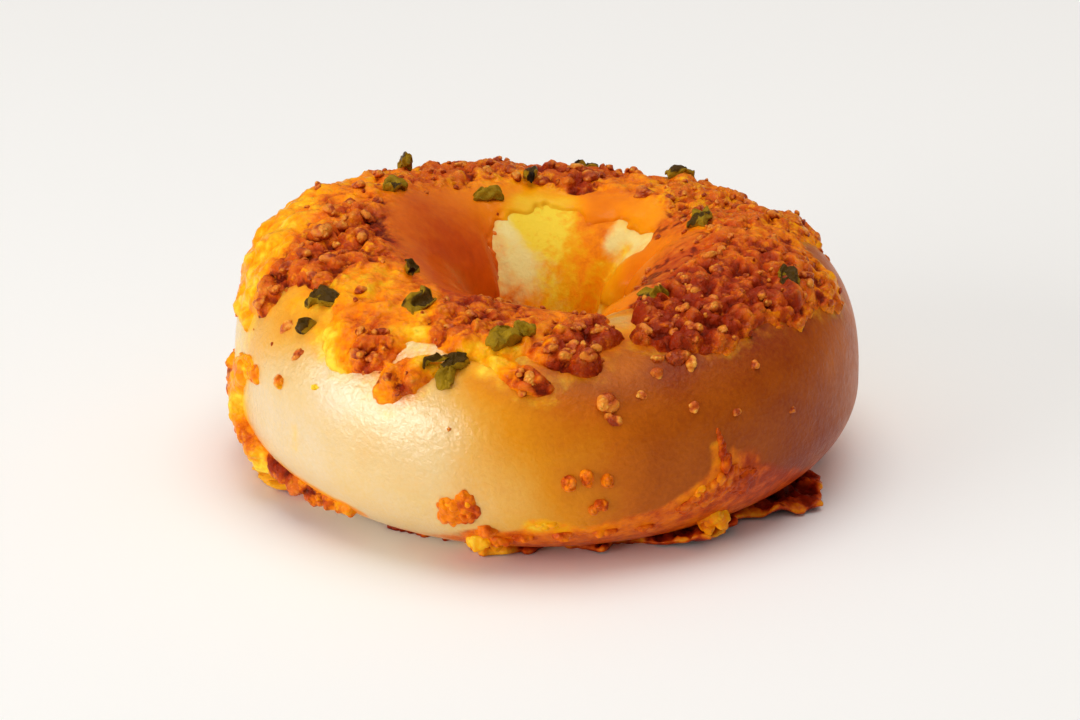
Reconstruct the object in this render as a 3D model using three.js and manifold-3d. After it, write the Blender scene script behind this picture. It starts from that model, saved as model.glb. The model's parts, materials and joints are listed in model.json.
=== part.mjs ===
// A cheese-topped bagel with chopped green pepper, in millimetres, +Z up.
// It lies on its flat base at z = 0, with the middle of its outline on the origin.
// A place on the ring is two angles in degrees: round goes round the hole, anticlockwise
// from +X, and over goes over the dough, from 0 at the outer side through 90 at the crown
// and 180 in the hole to 270 under the base. A minus value of over is below the outer side.

import * as THREE from "three";
import { mergeVertices } from "three/addons/utils/BufferGeometryUtils.js";
import Module from "manifold-3d";

const { abs, cos, exp, floor, hypot, max, min, sign, sin, PI } = Math;

// Dough
const RING_RADIUS = 30.6; // middle of the hole to the middle of the dough
const OUTER_HALF_WIDTH = 21.0; // middle of the dough to its outer side
const NECK_RADIUS = 9.6; // the hole where it is narrowest
const BELLY_HEIGHT = 14.6; // height of the widest place
const UNDER_HALF_HEIGHT = 15.7; // the dough's own depth below the belly, which the base cuts flat
const CROWN_HEIGHT = 36.9; // mean height of the bare dough
const CROWN_LEAN = { x: -1.9, y: 1.2, oval: 1.8 }; // higher on the left and at the back
const SHOULDER_SQUARENESS = 2.7; // 2 is an ellipse, more is squarer
const TUCK_SQUARENESS = 1.9; // the same for the side that tucks in below the belly

// Creases where the rolled dough was pinched together, which run down into the hole
const CREASES = [
  { round: 50, width: 7, depth: 2.4 },
  { round: 20, width: 6, depth: 1.6 },
  { round: 128, width: 7, depth: 1.4 },
  { round: 232, width: 9, depth: 1.2 },
  { round: 302, width: 6, depth: 1.5 },
];

// Melted cheese: where each puddle lies, how far it reaches and how thick it is
const PUDDLES = [
  // the left shoulder, and the run down the left side to the base
  { round: 184, over: 44, reach: 14, thick: 1.5 },
  { round: 162, over: 56, reach: 16, thick: 1.3 },
  { round: 193, over: 66, reach: 12, thick: 1.8 },
  { round: 172, over: 82, reach: 15, thick: 1.6 },
  { round: 195, over: 20, reach: 6, thick: 1.0 },
  { round: 194, over: 0, reach: 6, thick: 1.6 },
  { round: 197, over: -16, reach: 7, thick: 3.4 },
  { round: 205, over: -30, reach: 7, thick: 3.2 },
  { round: 215, over: -38, reach: 5, thick: 2.0 },
  { round: 182, over: -20, reach: 10, thick: 2.9 },
  // the left wall of the hole and the crown above it
  { round: 198, over: 104, reach: 14, thick: 1.6 },
  { round: 178, over: 124, reach: 15, thick: 1.4 },
  { round: 162, over: 142, reach: 9, thick: 1.0 },
  { round: 222, over: 110, reach: 10, thick: 1.3 },
  // the front left, with two tongues that ran further down
  { round: 229, over: 60, reach: 9, thick: 1.8 },
  { round: 231, over: 77, reach: 12, thick: 1.8 },
  { round: 234, over: 44, reach: 6, thick: 1.7 },
  { round: 244.5, over: 40, reach: 3.4, thick: 2.0 },
  { round: 248, over: 50, reach: 3.4, thick: 1.8 },
  // the near rim
  { round: 250, over: 90, reach: 10, thick: 1.6 },
  { round: 264, over: 92, reach: 9, thick: 1.4 },
  { round: 266, over: 77, reach: 8, thick: 1.4 },
  { round: 279, over: 71, reach: 8, thick: 1.7 },
  { round: 287, over: 85, reach: 6, thick: 1.3 },
  { round: 269.5, over: 52, reach: 3.6, thick: 1.9 },
  // the right
  { round: 306, over: 73, reach: 10, thick: 1.9 },
  { round: 315, over: 86, reach: 11, thick: 1.8 },
  { round: 324, over: 106, reach: 10, thick: 1.5 },
  { round: 334, over: 74, reach: 12, thick: 1.8 },
  { round: 352, over: 82, reach: 13, thick: 1.7 },
  { round: 350, over: 50, reach: 8, thick: 1.4 },
  { round: 5, over: 130, reach: 10, thick: 1.1 },
  { round: 14, over: 90, reach: 13, thick: 1.7 },
  { round: 20, over: 54, reach: 8, thick: 1.5 },
  // the far side
  { round: 38, over: 88, reach: 12, thick: 1.7 },
  { round: 62, over: 84, reach: 13, thick: 1.8 },
  { round: 62, over: 42, reach: 9, thick: 1.5 },
  { round: 88, over: 84, reach: 13, thick: 1.9 },
  { round: 104, over: 50, reach: 11, thick: 1.7 },
  { round: 116, over: 86, reach: 14, thick: 1.8 },
  { round: 138, over: 84, reach: 14, thick: 2.0 },
  { round: 134, over: 54, reach: 11, thick: 1.9 },
  { round: 93, over: 124, reach: 9, thick: 1.2 },
  { round: 84, over: 146, reach: 8, thick: 1.0 },
  { round: 70, over: 116, reach: 8, thick: 1.2 },
  // small spots and the drip that ran up from the base
  { round: 203, over: 11, reach: 2.6, thick: 1.2 },
  { round: 258, over: -16, reach: 3.0, thick: 1.2 },
  { round: 305.5, over: 6, reach: 2.6, thick: 1.2 },
  { round: 309, over: -9, reach: 5.0, thick: 1.4 },
  { round: 300, over: -28, reach: 5.0, thick: 1.1 },
];
const LUMP_SIZE = 4.4; // spacing of the lumps that ripple the cheese
const LUMP_SHARE = 0.75; // how much of the thickness they add or take

// Toasted crumbs of cheese that are placed one by one: round, over and radius
const PLACED_CRUMBS = [
  [286, 43, 2.2], [286, 33, 1.5], [292, 44, 1.0], [302, 31, 1.1], [309, 21, 0.9],
  [296, 58, 1.5], [301, 62, 2.1], [305, 56, 1.4], [309, 49, 0.9], [309, 71, 1.4],
  [296, 79, 1.5], [291, 84, 1.2], [267, 56, 1.7], [270, 50, 1.9], [277, 4, 1.1],
  [281, 5, 1.2], [284, 3, 1.1], [282, -9, 1.4], [275, 66, 1.5], [279, 66, 1.8],
  [283, 64, 1.6], [281, 75, 1.5], [221, 34, 1.3], [214, 42, 1.5], [217, 18, 1.1],
  [193, 81, 2.1], [180, 88, 1.7], [196, 88, 1.8], [188, 95, 1.6], [205, 74, 1.7],
  [201, 82, 1.6], [207, 64, 1.5], [207, 50, 1.4], [316, 74, 1.9], [321, 88, 1.9],
  [312, 62, 1.7], [183, 74, 1.6], [188, 85, 1.8], [176, 96, 1.5], [200, 66, 1.5],
  [195, 60, 1.3], [170, 88, 1.6], [163, 80, 1.7], [224, 76, 1.4], [232, 58, 1.5],
  [238, 62, 1.5], [252, 84, 1.5], [258, 90, 1.5],
];
// Crumbs that are strewn over bands of the topping, most of them at the back and on the right
const STREWN_CRUMBS = [
  { count: 15, round: [-42, 75], over: [48, 98], radius: [1.3, 2.2] },
  { count: 10, round: [75, 165], over: [56, 98], radius: [1.3, 2.1] },
  { count: 6, round: [0, 150], over: [14, 48], radius: [1.0, 1.5] },
];
const CRUMB_SEED = 41;
const CRUMB_SINK = 0.3; // share of a crumb's radius that its middle lies below the cheese
const CRUMB_FLATNESS = 0.78;
const CRUMB_JITTER = 0.16;

// Chopped pepper: place, length, width, turn on the surface and how far one end lifts
const PEPPER_THICKNESS = 2.4;
const PEPPER_SINK = 0.3; // share of the thickness that lies in the cheese
const PEPPER_BEND = 0.05; // drop of the ends, in millimetres for each square millimetre
const PEPPER_TAPER = 0.35; // share of the width that the far end loses
const PEPPERS = [
  { round: 217, over: 64, length: 5.8, width: 4.4, turn: 20, lift: 10 },
  { round: 220, over: 48, length: 3.0, width: 2.2, turn: 70, lift: 8 },
  { round: 158, over: 95, length: 5.6, width: 3.8, turn: 10, lift: 8 },
  { round: 133, over: 76, length: 3.0, width: 2.0, turn: 80, lift: 24 },
  { round: 235, over: 88, length: 6.4, width: 3.8, turn: 60, lift: 12 },
  { round: 215, over: 102, length: 4.4, width: 2.4, turn: -30, lift: 8 },
  { round: 116, over: 108, length: 5.4, width: 3.8, turn: 5, lift: 6 },
  { round: 98, over: 92, length: 4.2, width: 2.6, turn: 80, lift: 20 },
  { round: 255, over: 55, length: 5.6, width: 3.4, turn: 85, lift: 4 },
  { round: 250, over: 56, length: 4.0, width: 2.0, turn: 50, lift: 16 },
  { round: 265, over: 76, length: 4.8, width: 3.6, turn: 35, lift: 8 },
  { round: 310, over: 101, length: 4.4, width: 3.6, turn: -20, lift: 12 },
  { round: 340, over: 66, length: 5.4, width: 3.8, turn: 40, lift: 10 },
  { round: 18, over: 100, length: 5.2, width: 4.0, turn: -50, lift: 6 },
  { round: 58, over: 70, length: 5.6, width: 3.8, turn: 75, lift: 6 },
  { round: 84, over: 60, length: 4.6, width: 3.2, turn: 15, lift: 12 },
];

// Cheese that ran down and crisped into a frill on the tray, round the dough's foot
const FOOT_RADIUS = 38.4;
const FRILL_ROOT = { radius: 34.0, height: 3.2 };
const FRILL_EDGE_HEIGHT = 1.0;
const FRILL_BEAD_HEIGHT = 1.5; // height halfway out, before what its reach adds
const FRILL_BEAD_RISE = 0.14; // added height for each millimetre of reach
const FRILL_RAGGEDNESS = 1.5;
const FRILL_LUMP_SIZE = 3.4;
const FRILLS = [
  { round: 198, width: 16, reach: 10.5 },
  { round: 262, width: 7, reach: 4.6 },
  { round: 284, width: 8, reach: 2.6 },
  { round: 308, width: 13, reach: 9.0 },
  { round: 334, width: 17, reach: 12.2 },
  { round: 0, width: 16, reach: 7.0 },
  { round: 55, width: 26, reach: 5.4 },
  { round: 110, width: 20, reach: 6.4 },
  { round: 156, width: 18, reach: 7.0 },
];

// Fineness of the faceted surface
const STEPS_ROUND = 90;
const STEPS_OVER = 32;
const FRILL_STEPS = 76;

// Puts the middle of the finished outline on the origin
const OUTLINE_MIDDLE = { x: -0.764, y: -0.361 };

const rad = (degrees) => (degrees * PI) / 180;
const clamp01 = (t) => min(1, max(0, t));
const smooth = (t) => t * t * (3 - 2 * t);
const angleGap = (a, b) => ((((a - b) % 360) + 540) % 360) - 180;

let seedState = CRUMB_SEED;
// A number from 0 to 1 from a seeded sequence, so that every build is the same.
function draw() {
  seedState = (seedState * 16807) % 2147483647;
  return seedState / 2147483647;
}
const between = ([low, high]) => low + (high - low) * draw();

// A fixed number from -1 to 1 for each corner of a cubic lattice.
function cornerValue(i, j, k) {
  const mixed = sin(127.1 * i + 311.7 * j + 74.7 * k) * 43758.5453;
  return 2 * (mixed - floor(mixed)) - 1;
}

// Soft lumps in space, from -1 to 1: the lattice's values, blended smoothly between corners.
function lumpiness({ x, y, z }, size) {
  const cell = [x, y, z].map((value) => floor(value / size));
  const blend = [x, y, z].map((value, axis) => smooth(value / size - cell[axis]));
  let value = 0;
  for (let corner = 0; corner < 8; corner += 1) {
    const step = [corner & 1, (corner >> 1) & 1, corner >> 2];
    const share = step.reduce((product, s, axis) => product * (s ? blend[axis] : 1 - blend[axis]), 1);
    value += share * cornerValue(cell[0] + step[0], cell[1] + step[1], cell[2] + step[2]);
  }
  return value;
}

// How far the outer side swells at each place round the ring: hand-rolled dough is never even.
function outerSwell(round) {
  const a = rad(round);
  return 0.35 * cos(2 * a + 1.2) + 0.3 * cos(3 * a - 0.6) + 0.2 * cos(5 * a + 2.1);
}

// The hole's outline, which is lobed rather than round.
function neckSwell(round) {
  const a = rad(round);
  return 0.7 * cos(2 * a - 0.5) + 0.45 * cos(3 * a + 1.9);
}

function crownHeight(round) {
  const a = rad(round);
  const lean = CROWN_LEAN.x * cos(a) + CROWN_LEAN.y * sin(a) + CROWN_LEAN.oval * cos(2 * a);
  const ripple = 0.4 * cos(4 * a + 0.8) + 0.3 * cos(7 * a - 1.1);
  return CROWN_HEIGHT + lean + ripple;
}

// Depth of the pinched creases. They are deepest on the hole's wall and fade out on the crown.
function creaseDepth(round, over) {
  const inHole = smooth(clamp01((over - 96) / 40)) * smooth(clamp01((262 - over) / 50));
  let depth = 0;
  for (const crease of CREASES) {
    const gap = angleGap(round, crease.round + 0.12 * (over - 140)) / crease.width;
    depth += crease.depth * exp(-gap * gap);
  }
  return depth * inHole;
}

// The bare dough: distance from the ring's axis and height, at a place on it.
function doughSection(round, over) {
  const c = cos(rad(over));
  const s = sin(rad(over));
  const outerBend = 2 / (s > 0 ? SHOULDER_SQUARENESS : TUCK_SQUARENESS);
  const bend = c > 0 ? outerBend : 1;
  const across = sign(c) * abs(c) ** bend;
  const up = sign(s) * abs(s) ** bend;
  const halfWidth = c > 0
    ? OUTER_HALF_WIDTH + outerSwell(round)
    : RING_RADIUS - NECK_RADIUS - neckSwell(round);
  const halfHeight = s > 0 ? crownHeight(round) - BELLY_HEIGHT : UNDER_HALF_HEIGHT;
  const crease = creaseDepth(round, over);
  return {
    r: RING_RADIUS + (halfWidth - (c < 0 ? crease : 0)) * across,
    z: BELLY_HEIGHT + (halfHeight - (s > 0 ? 0.6 * crease : 0)) * up,
  };
}

function doughPoint(round, over) {
  const { r, z } = doughSection(round, over);
  return new THREE.Vector3(r * cos(rad(round)), r * sin(rad(round)), z);
}

// The directions at a place on the dough: along the ring, over it, and out of it.
function directionsAt(round, over) {
  const step = 0.5;
  const along = doughPoint(round + step, over).sub(doughPoint(round - step, over)).normalize();
  const across = doughPoint(round, over + step).sub(doughPoint(round, over - step)).normalize();
  const out = new THREE.Vector3().crossVectors(along, across).normalize();
  return { along, across: new THREE.Vector3().crossVectors(out, along), out };
}

// Thickness of the melted cheese: the puddles run together, and lumps ripple their top.
function cheeseThickness(round, over) {
  const c = cos(rad(over));
  const circle = RING_RADIUS + (c > 0 ? OUTER_HALF_WIDTH : RING_RADIUS - NECK_RADIUS) * c;
  let bare = 1;
  let thick = 0;
  let weight = 0;
  for (const puddle of PUDDLES) {
    const alongGap = rad(angleGap(round, puddle.round)) * circle;
    const acrossGap = rad(angleGap(over, puddle.over)) * OUTER_HALF_WIDTH;
    const share = smooth(clamp01(1.25 - hypot(alongGap, acrossGap) / puddle.reach));
    bare *= 1 - share;
    thick += share * puddle.thick;
    weight += share;
  }
  if (weight === 0) {
    return 0;
  }
  const lumps = 1 + LUMP_SHARE * lumpiness(doughPoint(round, over), LUMP_SIZE);
  return (1 - bare) * (thick / weight) * lumps;
}

function surfacePoint(round, over) {
  const { out } = directionsAt(round, over);
  const point = doughPoint(round, over).addScaledVector(out, cheeseThickness(round, over));
  point.z = max(point.z, 0);
  return point;
}

// A closed skin from rows of points that run right round in both directions.
function closedSkin(rows) {
  const corners = [];
  const faces = [];
  const wide = rows[0].length;
  rows.forEach((row) => row.forEach((p) => corners.push(p.x, p.y, p.z)));
  for (let i = 0; i < rows.length; i += 1) {
    for (let j = 0; j < wide; j += 1) {
      const next = ((i + 1) % rows.length) * wide;
      const here = i * wide;
      const beside = (j + 1) % wide;
      faces.push(here + j, next + j, next + beside, here + j, next + beside, here + beside);
    }
  }
  const geometry = new THREE.BufferGeometry();
  geometry.setAttribute("position", new THREE.Float32BufferAttribute(corners, 3));
  geometry.setIndex(faces);
  return geometry;
}

// The ring of dough with its cheese, with more rows over the crown than under the base.
function ringGeometry() {
  const rows = [];
  for (let i = 0; i < STEPS_ROUND; i += 1) {
    const row = [];
    for (let j = 0; j < STEPS_OVER; j += 1) {
      const t = (2 * j) / STEPS_OVER - 1;
      row.push(surfacePoint((360 * i) / STEPS_ROUND, 90 + 180 * (0.72 * t + 0.28 * t ** 3)));
    }
    rows.push(row);
  }
  return closedSkin(rows);
}

// Reach of the crisp frill past the dough's foot, negative where there is none.
function frillReach(round) {
  let reach = -1;
  for (const frill of FRILLS) {
    const gap = angleGap(round, frill.round) / frill.width;
    reach = max(reach, (frill.reach + 1) * exp(-gap * gap) - 1);
  }
  const corner = new THREE.Vector3(FOOT_RADIUS * cos(rad(round)), FOOT_RADIUS * sin(rad(round)), 0);
  return reach + FRILL_RAGGEDNESS * lumpiness(corner, FRILL_LUMP_SIZE);
}

function frillGeometry() {
  const rows = [];
  for (let i = 0; i < FRILL_STEPS; i += 1) {
    const round = (360 * i) / FRILL_STEPS;
    const reach = max(frillReach(round), -2);
    const edge = FOOT_RADIUS + reach;
    const bead = FRILL_BEAD_HEIGHT + FRILL_BEAD_RISE * max(reach, 0);
    const place = (r, z) => new THREE.Vector3(r * cos(rad(round)), r * sin(rad(round)), z);
    const lump = 0.5 * lumpiness(place(edge, 0), FRILL_LUMP_SIZE);
    rows.push([
      place(FRILL_ROOT.radius, FRILL_ROOT.height),
      place(FRILL_ROOT.radius, 0),
      place(edge, 0),
      place(edge - 0.3, FRILL_EDGE_HEIGHT + lump),
      place((FOOT_RADIUS + edge) / 2, bead + lump),
    ]);
  }
  return closedSkin(rows);
}

// Puts a small piece on the surface, turned on it and lifted at one end.
function setOnSurface(geometry, { round, over, turn = 0, lift = 0 }, sink) {
  const { along, across, out } = directionsAt(round, over);
  const stance = new THREE.Matrix4().makeBasis(along, across, out);
  stance.multiply(new THREE.Matrix4().makeRotationZ(rad(turn)));
  stance.multiply(new THREE.Matrix4().makeRotationY(-rad(lift)));
  geometry.applyMatrix4(stance);
  const foot = surfacePoint(round, over).addScaledVector(out, -sink);
  return geometry.translate(foot.x, foot.y, foot.z);
}

// A crumb is an uneven, slightly flat lump.
function crumbGeometry(round, over, radius) {
  const lump = mergedCorners(new THREE.IcosahedronGeometry(radius, 0));
  const corners = lump.getAttribute("position");
  for (let k = 0; k < corners.count; k += 1) {
    const swell = 1 + CRUMB_JITTER * (2 * draw() - 1);
    const [x, y, z] = [corners.getX(k), corners.getY(k), corners.getZ(k) * CRUMB_FLATNESS];
    corners.setXYZ(k, x * swell, y * swell, z * swell);
  }
  return setOnSurface(lump, { round, over, turn: 360 * draw() }, CRUMB_SINK * radius);
}

// A piece of pepper is a bent slab, narrower at one end.
function pepperGeometry(pepper) {
  const box = new THREE.BoxGeometry(pepper.length, pepper.width, PEPPER_THICKNESS, 3, 1, 1);
  const slab = mergedCorners(box);
  const corners = slab.getAttribute("position");
  for (let k = 0; k < corners.count; k += 1) {
    const x = corners.getX(k);
    const taper = 1 - (PEPPER_TAPER * (x + pepper.length / 2)) / pepper.length;
    corners.setXYZ(k, x, corners.getY(k) * taper, corners.getZ(k) - PEPPER_BEND * x * x);
  }
  const raised = (0.5 - PEPPER_SINK) * PEPPER_THICKNESS + 0.3 * pepper.length * sin(rad(pepper.lift));
  return setOnSurface(slab, pepper, -raised);
}

function mergedCorners(geometry) {
  geometry.deleteAttribute("normal");
  geometry.deleteAttribute("uv");
  return mergeVertices(geometry);
}

const wasm = await Module();
wasm.setup();

function toSolid(geometry) {
  const { array } = geometry.getAttribute("position");
  return new wasm.Manifold(new wasm.Mesh({
    numProp: 3,
    vertProperties: Float32Array.from(array),
    triVerts: Uint32Array.from(geometry.getIndex().array),
  }));
}

function toGeometry(solid) {
  const mesh = solid.getMesh();
  const geometry = new THREE.BufferGeometry();
  geometry.setAttribute("position", new THREE.BufferAttribute(Float32Array.from(mesh.vertProperties), 3));
  geometry.setIndex(new THREE.BufferAttribute(Uint32Array.from(mesh.triVerts), 1));
  geometry.computeVertexNormals();
  return geometry;
}

function strewnCrumbs() {
  return STREWN_CRUMBS.flatMap((band) => Array.from(
    { length: band.count },
    () => [between(band.round), between(band.over), between(band.radius)],
  ));
}

// Everything on the bagel is baked onto it, so the whole is one solid.
function bagelGeometry() {
  const pieces = [
    frillGeometry(),
    ...PEPPERS.map(pepperGeometry),
    ...[...PLACED_CRUMBS, ...strewnCrumbs()].map((crumb) => crumbGeometry(...crumb)),
  ];
  const ring = toSolid(ringGeometry());
  const whole = pieces.reduce((solid, piece) => solid.add(toSolid(piece)), ring);
  return toGeometry(whole).translate(-OUTLINE_MIDDLE.x, -OUTLINE_MIDDLE.y, 0);
}

const crust = new THREE.MeshStandardMaterial({ color: 0xdf9a46, roughness: 0.45, metalness: 0 });
const bagel = new THREE.Mesh(bagelGeometry(), crust);
bagel.name = "bagel";

const group = new THREE.Group();
group.add(bagel);

export default group;
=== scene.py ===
import itertools
import json
import math

import bmesh
import bpy
import numpy as np
from bpy.props import FloatProperty, FloatVectorProperty, IntProperty, PointerProperty
from mathutils import Matrix, Vector

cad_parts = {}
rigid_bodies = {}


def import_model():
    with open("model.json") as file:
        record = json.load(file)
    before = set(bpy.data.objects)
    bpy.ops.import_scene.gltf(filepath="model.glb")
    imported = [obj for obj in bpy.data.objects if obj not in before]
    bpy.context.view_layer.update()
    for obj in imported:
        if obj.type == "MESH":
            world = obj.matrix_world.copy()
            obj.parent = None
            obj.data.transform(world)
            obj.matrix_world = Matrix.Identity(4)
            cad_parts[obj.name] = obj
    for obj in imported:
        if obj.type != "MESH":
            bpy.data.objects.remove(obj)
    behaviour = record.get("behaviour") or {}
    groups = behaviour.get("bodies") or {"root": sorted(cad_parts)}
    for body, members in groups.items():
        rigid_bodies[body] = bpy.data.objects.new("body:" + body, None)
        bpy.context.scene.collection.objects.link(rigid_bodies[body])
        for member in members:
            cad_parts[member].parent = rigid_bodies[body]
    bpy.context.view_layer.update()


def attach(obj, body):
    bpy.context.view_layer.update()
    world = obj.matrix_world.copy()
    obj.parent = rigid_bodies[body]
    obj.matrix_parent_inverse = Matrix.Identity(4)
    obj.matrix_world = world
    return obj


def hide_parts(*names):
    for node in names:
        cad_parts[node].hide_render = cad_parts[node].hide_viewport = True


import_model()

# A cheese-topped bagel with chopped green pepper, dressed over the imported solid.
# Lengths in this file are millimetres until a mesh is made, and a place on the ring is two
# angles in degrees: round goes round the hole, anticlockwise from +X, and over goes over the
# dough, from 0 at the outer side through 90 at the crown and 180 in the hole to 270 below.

bl_info = {
    "name": "Cheese-topped bagel",
    "version": (1, 0, 0),
    "blender": (4, 5, 0),
    "location": "3D View > Sidebar > Bagel",
    "description": "Builds the dough, melted cheese, crumbs, pepper and crisp base of a bagel",
    "category": "Add Mesh",
}

NODE = "bagel"
BODY = "root"
MM = 0.001

# The dough's shape, as the solid has it
RING_MIDDLE = np.array([0.764, 0.361, 0.0])
CROWN_LEAN = {"x": -1.9, "y": 1.2, "oval": 1.8}
# Waves round the ring that make it uneven: how many, height and phase
OUTER_WAVES = ((2, 0.35, 1.2), (3, 0.3, -0.6), (5, 0.2, 2.1))
NECK_WAVES = ((2, 0.7, -0.5), (3, 0.45, 1.9))
CROWN_WAVES = ((4, 0.4, 0.8), (7, 0.3, -1.1))
CREASES = (  # round, width, depth
    (50, 7, 2.4), (20, 6, 1.6), (128, 7, 1.4), (232, 9, 1.2), (302, 6, 1.5),
)
CREASE_LEAN = 0.12  # how far round a crease moves for each degree over the dough
CREASES_START, CREASES_END = (96, 136), (212, 262)  # over which they grow, and fade again

FADED = 1.25  # a puddle, a run or a stain has faded away at this many times its reach
# Melted cheese, one row for each puddle: round, over, reach and thickness
PUDDLES = (
    # the outer left, from the tip that ran lowest up to the crown
    (198, 28, 3.6, 1.5), (194, 34, 6, 1.9), (190, 43, 9, 1.9), (202, 44, 5, 1.8),
    (184, 53, 11, 2.0), (197, 60, 7.5, 2.0), (175, 60, 13, 1.9), (168, 46, 8, 1.6),
    (190, 76, 12, 2.0), (172, 78, 14, 1.9), (204, 74, 7, 1.9), (211, 79, 7, 1.8),
    (185, 92, 13, 1.8), (158, 84, 14, 1.9), (152, 58, 11, 1.7),
    # the left wall of the hole
    (198, 104, 14, 1.5), (178, 124, 15, 1.3), (164, 142, 8, 0.9), (152, 126, 9, 1.1),
    (141, 112, 9, 1.4), (222, 112, 11, 1.4), (244, 106, 9, 1.3), (190, 146, 9, 0.9),
    # the front left, down to the edge above the pale dough
    (221, 82, 8.5, 1.7), (219, 93, 9, 1.7), (229, 74, 7.5, 1.8), (230, 62, 4.8, 1.7),
    (228.5, 51, 3.6, 1.6), (232, 43, 3.8, 1.6), (234, 54, 5, 1.9), (237, 46, 3.8, 1.8),
    (239, 58, 4, 1.8), (240, 50, 2.6, 1.6), (238, 78, 8, 1.7), (231, 91, 9, 1.7),
    # the tongue that slid free of it
    (244.2, 33.5, 2.9, 1.9), (245.5, 38.5, 3.4, 2.1), (247.2, 43.5, 3.4, 2.0),
    (249, 48.5, 3.2, 1.9), (250.6, 53, 2.6, 1.8),
    # the near rim
    (248, 82, 4.5, 1.6), (253, 76, 5, 1.8), (254, 87, 8, 1.9), (254, 98, 8, 1.6),
    (257.5, 68, 4, 1.7), (259, 79, 6.5, 1.8), (263, 90, 8, 1.7), (263.5, 72, 5, 1.6),
    (264, 62, 3, 1.4), (267.8, 55, 2.8, 2.0), (270, 51, 3.2, 2.4), (272.6, 47.5, 2.6, 2.2),
    (271, 87, 7, 1.6), (278, 88, 7, 1.8), (284.5, 86.5, 4.8, 1.8), (288.5, 82, 3.2, 1.7),
    (278, 75.5, 5.5, 1.9), (273, 70, 3.6, 1.6), (276.5, 64.5, 3.4, 2.0), (281.5, 62.5, 3.6, 2.2),
    (278, 100, 8, 1.4), (286, 101, 5, 1.3), (266, 106, 8, 1.2),
    # the right
    (298.5, 78, 3, 1.8), (306, 86, 4.2, 1.7), (313, 88, 6, 1.8), (308, 76, 6.5, 2.0),
    (304, 70, 4, 1.8), (313, 66, 6, 1.8), (320, 80, 9, 2.0), (311, 121, 6, 1.1),
    (327, 124, 8, 1.2), (338, 118, 9, 1.3), (331, 96, 12, 1.7), (336, 74, 12, 1.9),
    (350, 50, 7, 1.4), (352, 82, 13, 1.8), (346, 104, 11, 1.6), (5, 124, 9, 1.2),
    (14.5, 131, 6.5, 1.0), (27, 139, 5, 0.9), (14, 92, 13, 1.8), (20, 56, 8, 1.6),
    # the far wall of the hole, where pale dough shows between thin runs
    (95, 98, 4.4, 0.5), (103, 101, 3.4, 0.5), (87, 104, 2.8, 0.4), (72, 105, 4.0, 0.8),
    (66, 102, 5.4, 1.0), (51, 107, 4.4, 1.2), (69, 113, 3.4, 0.8), (38, 150, 3, 0.8),
    # the far crown and the far side
    (38, 88, 12, 1.7), (60, 86, 10, 1.8), (62, 42, 9, 1.5), (46, 64, 10, 1.6),
    (88, 84, 12, 1.9), (106, 50, 11, 1.7), (84, 60, 9, 1.7), (114, 88, 13, 1.9),
    (136, 84, 14, 2.0), (130, 58, 11, 1.9), (122, 103, 5, 1.4), (108, 101, 5, 1.3),
)
# What ran down low: round and over at one end, the same at the other, reach and thickness
RUNS = (
    # the run down the outer left to the base
    (202, 10, 199, 5, 2.2, 1.6), (199, 5, 196.5, -2, 2.5, 1.4), (196.5, -2, 197, -9, 3.2, 1.8),
    (197, -9, 200, -18, 4.4, 2.6), (200, -18, 206, -26, 4.8, 2.9), (206, -26, 213, -31, 4.2, 2.6),
    (213, -31, 222, -36, 3.0, 1.9), (222, -35, 232, -38, 2.0, 1.2),
    (186, -4, 190, -16, 5, 2.3), (176, -14, 184, -28, 7, 2.5), (160, -30, 176, -34, 5, 2.0),
    # the far side
    (80, -24, 86, -20, 4, 1.3), (96, -6, 97, -9, 1.5, 1.1), (18, -26, 24, -22, 4, 1.2),
    (136, 8, 137, 2, 1.6, 1.2), (48, 3, 48.5, 0, 1.3, 1.1),
)
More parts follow.
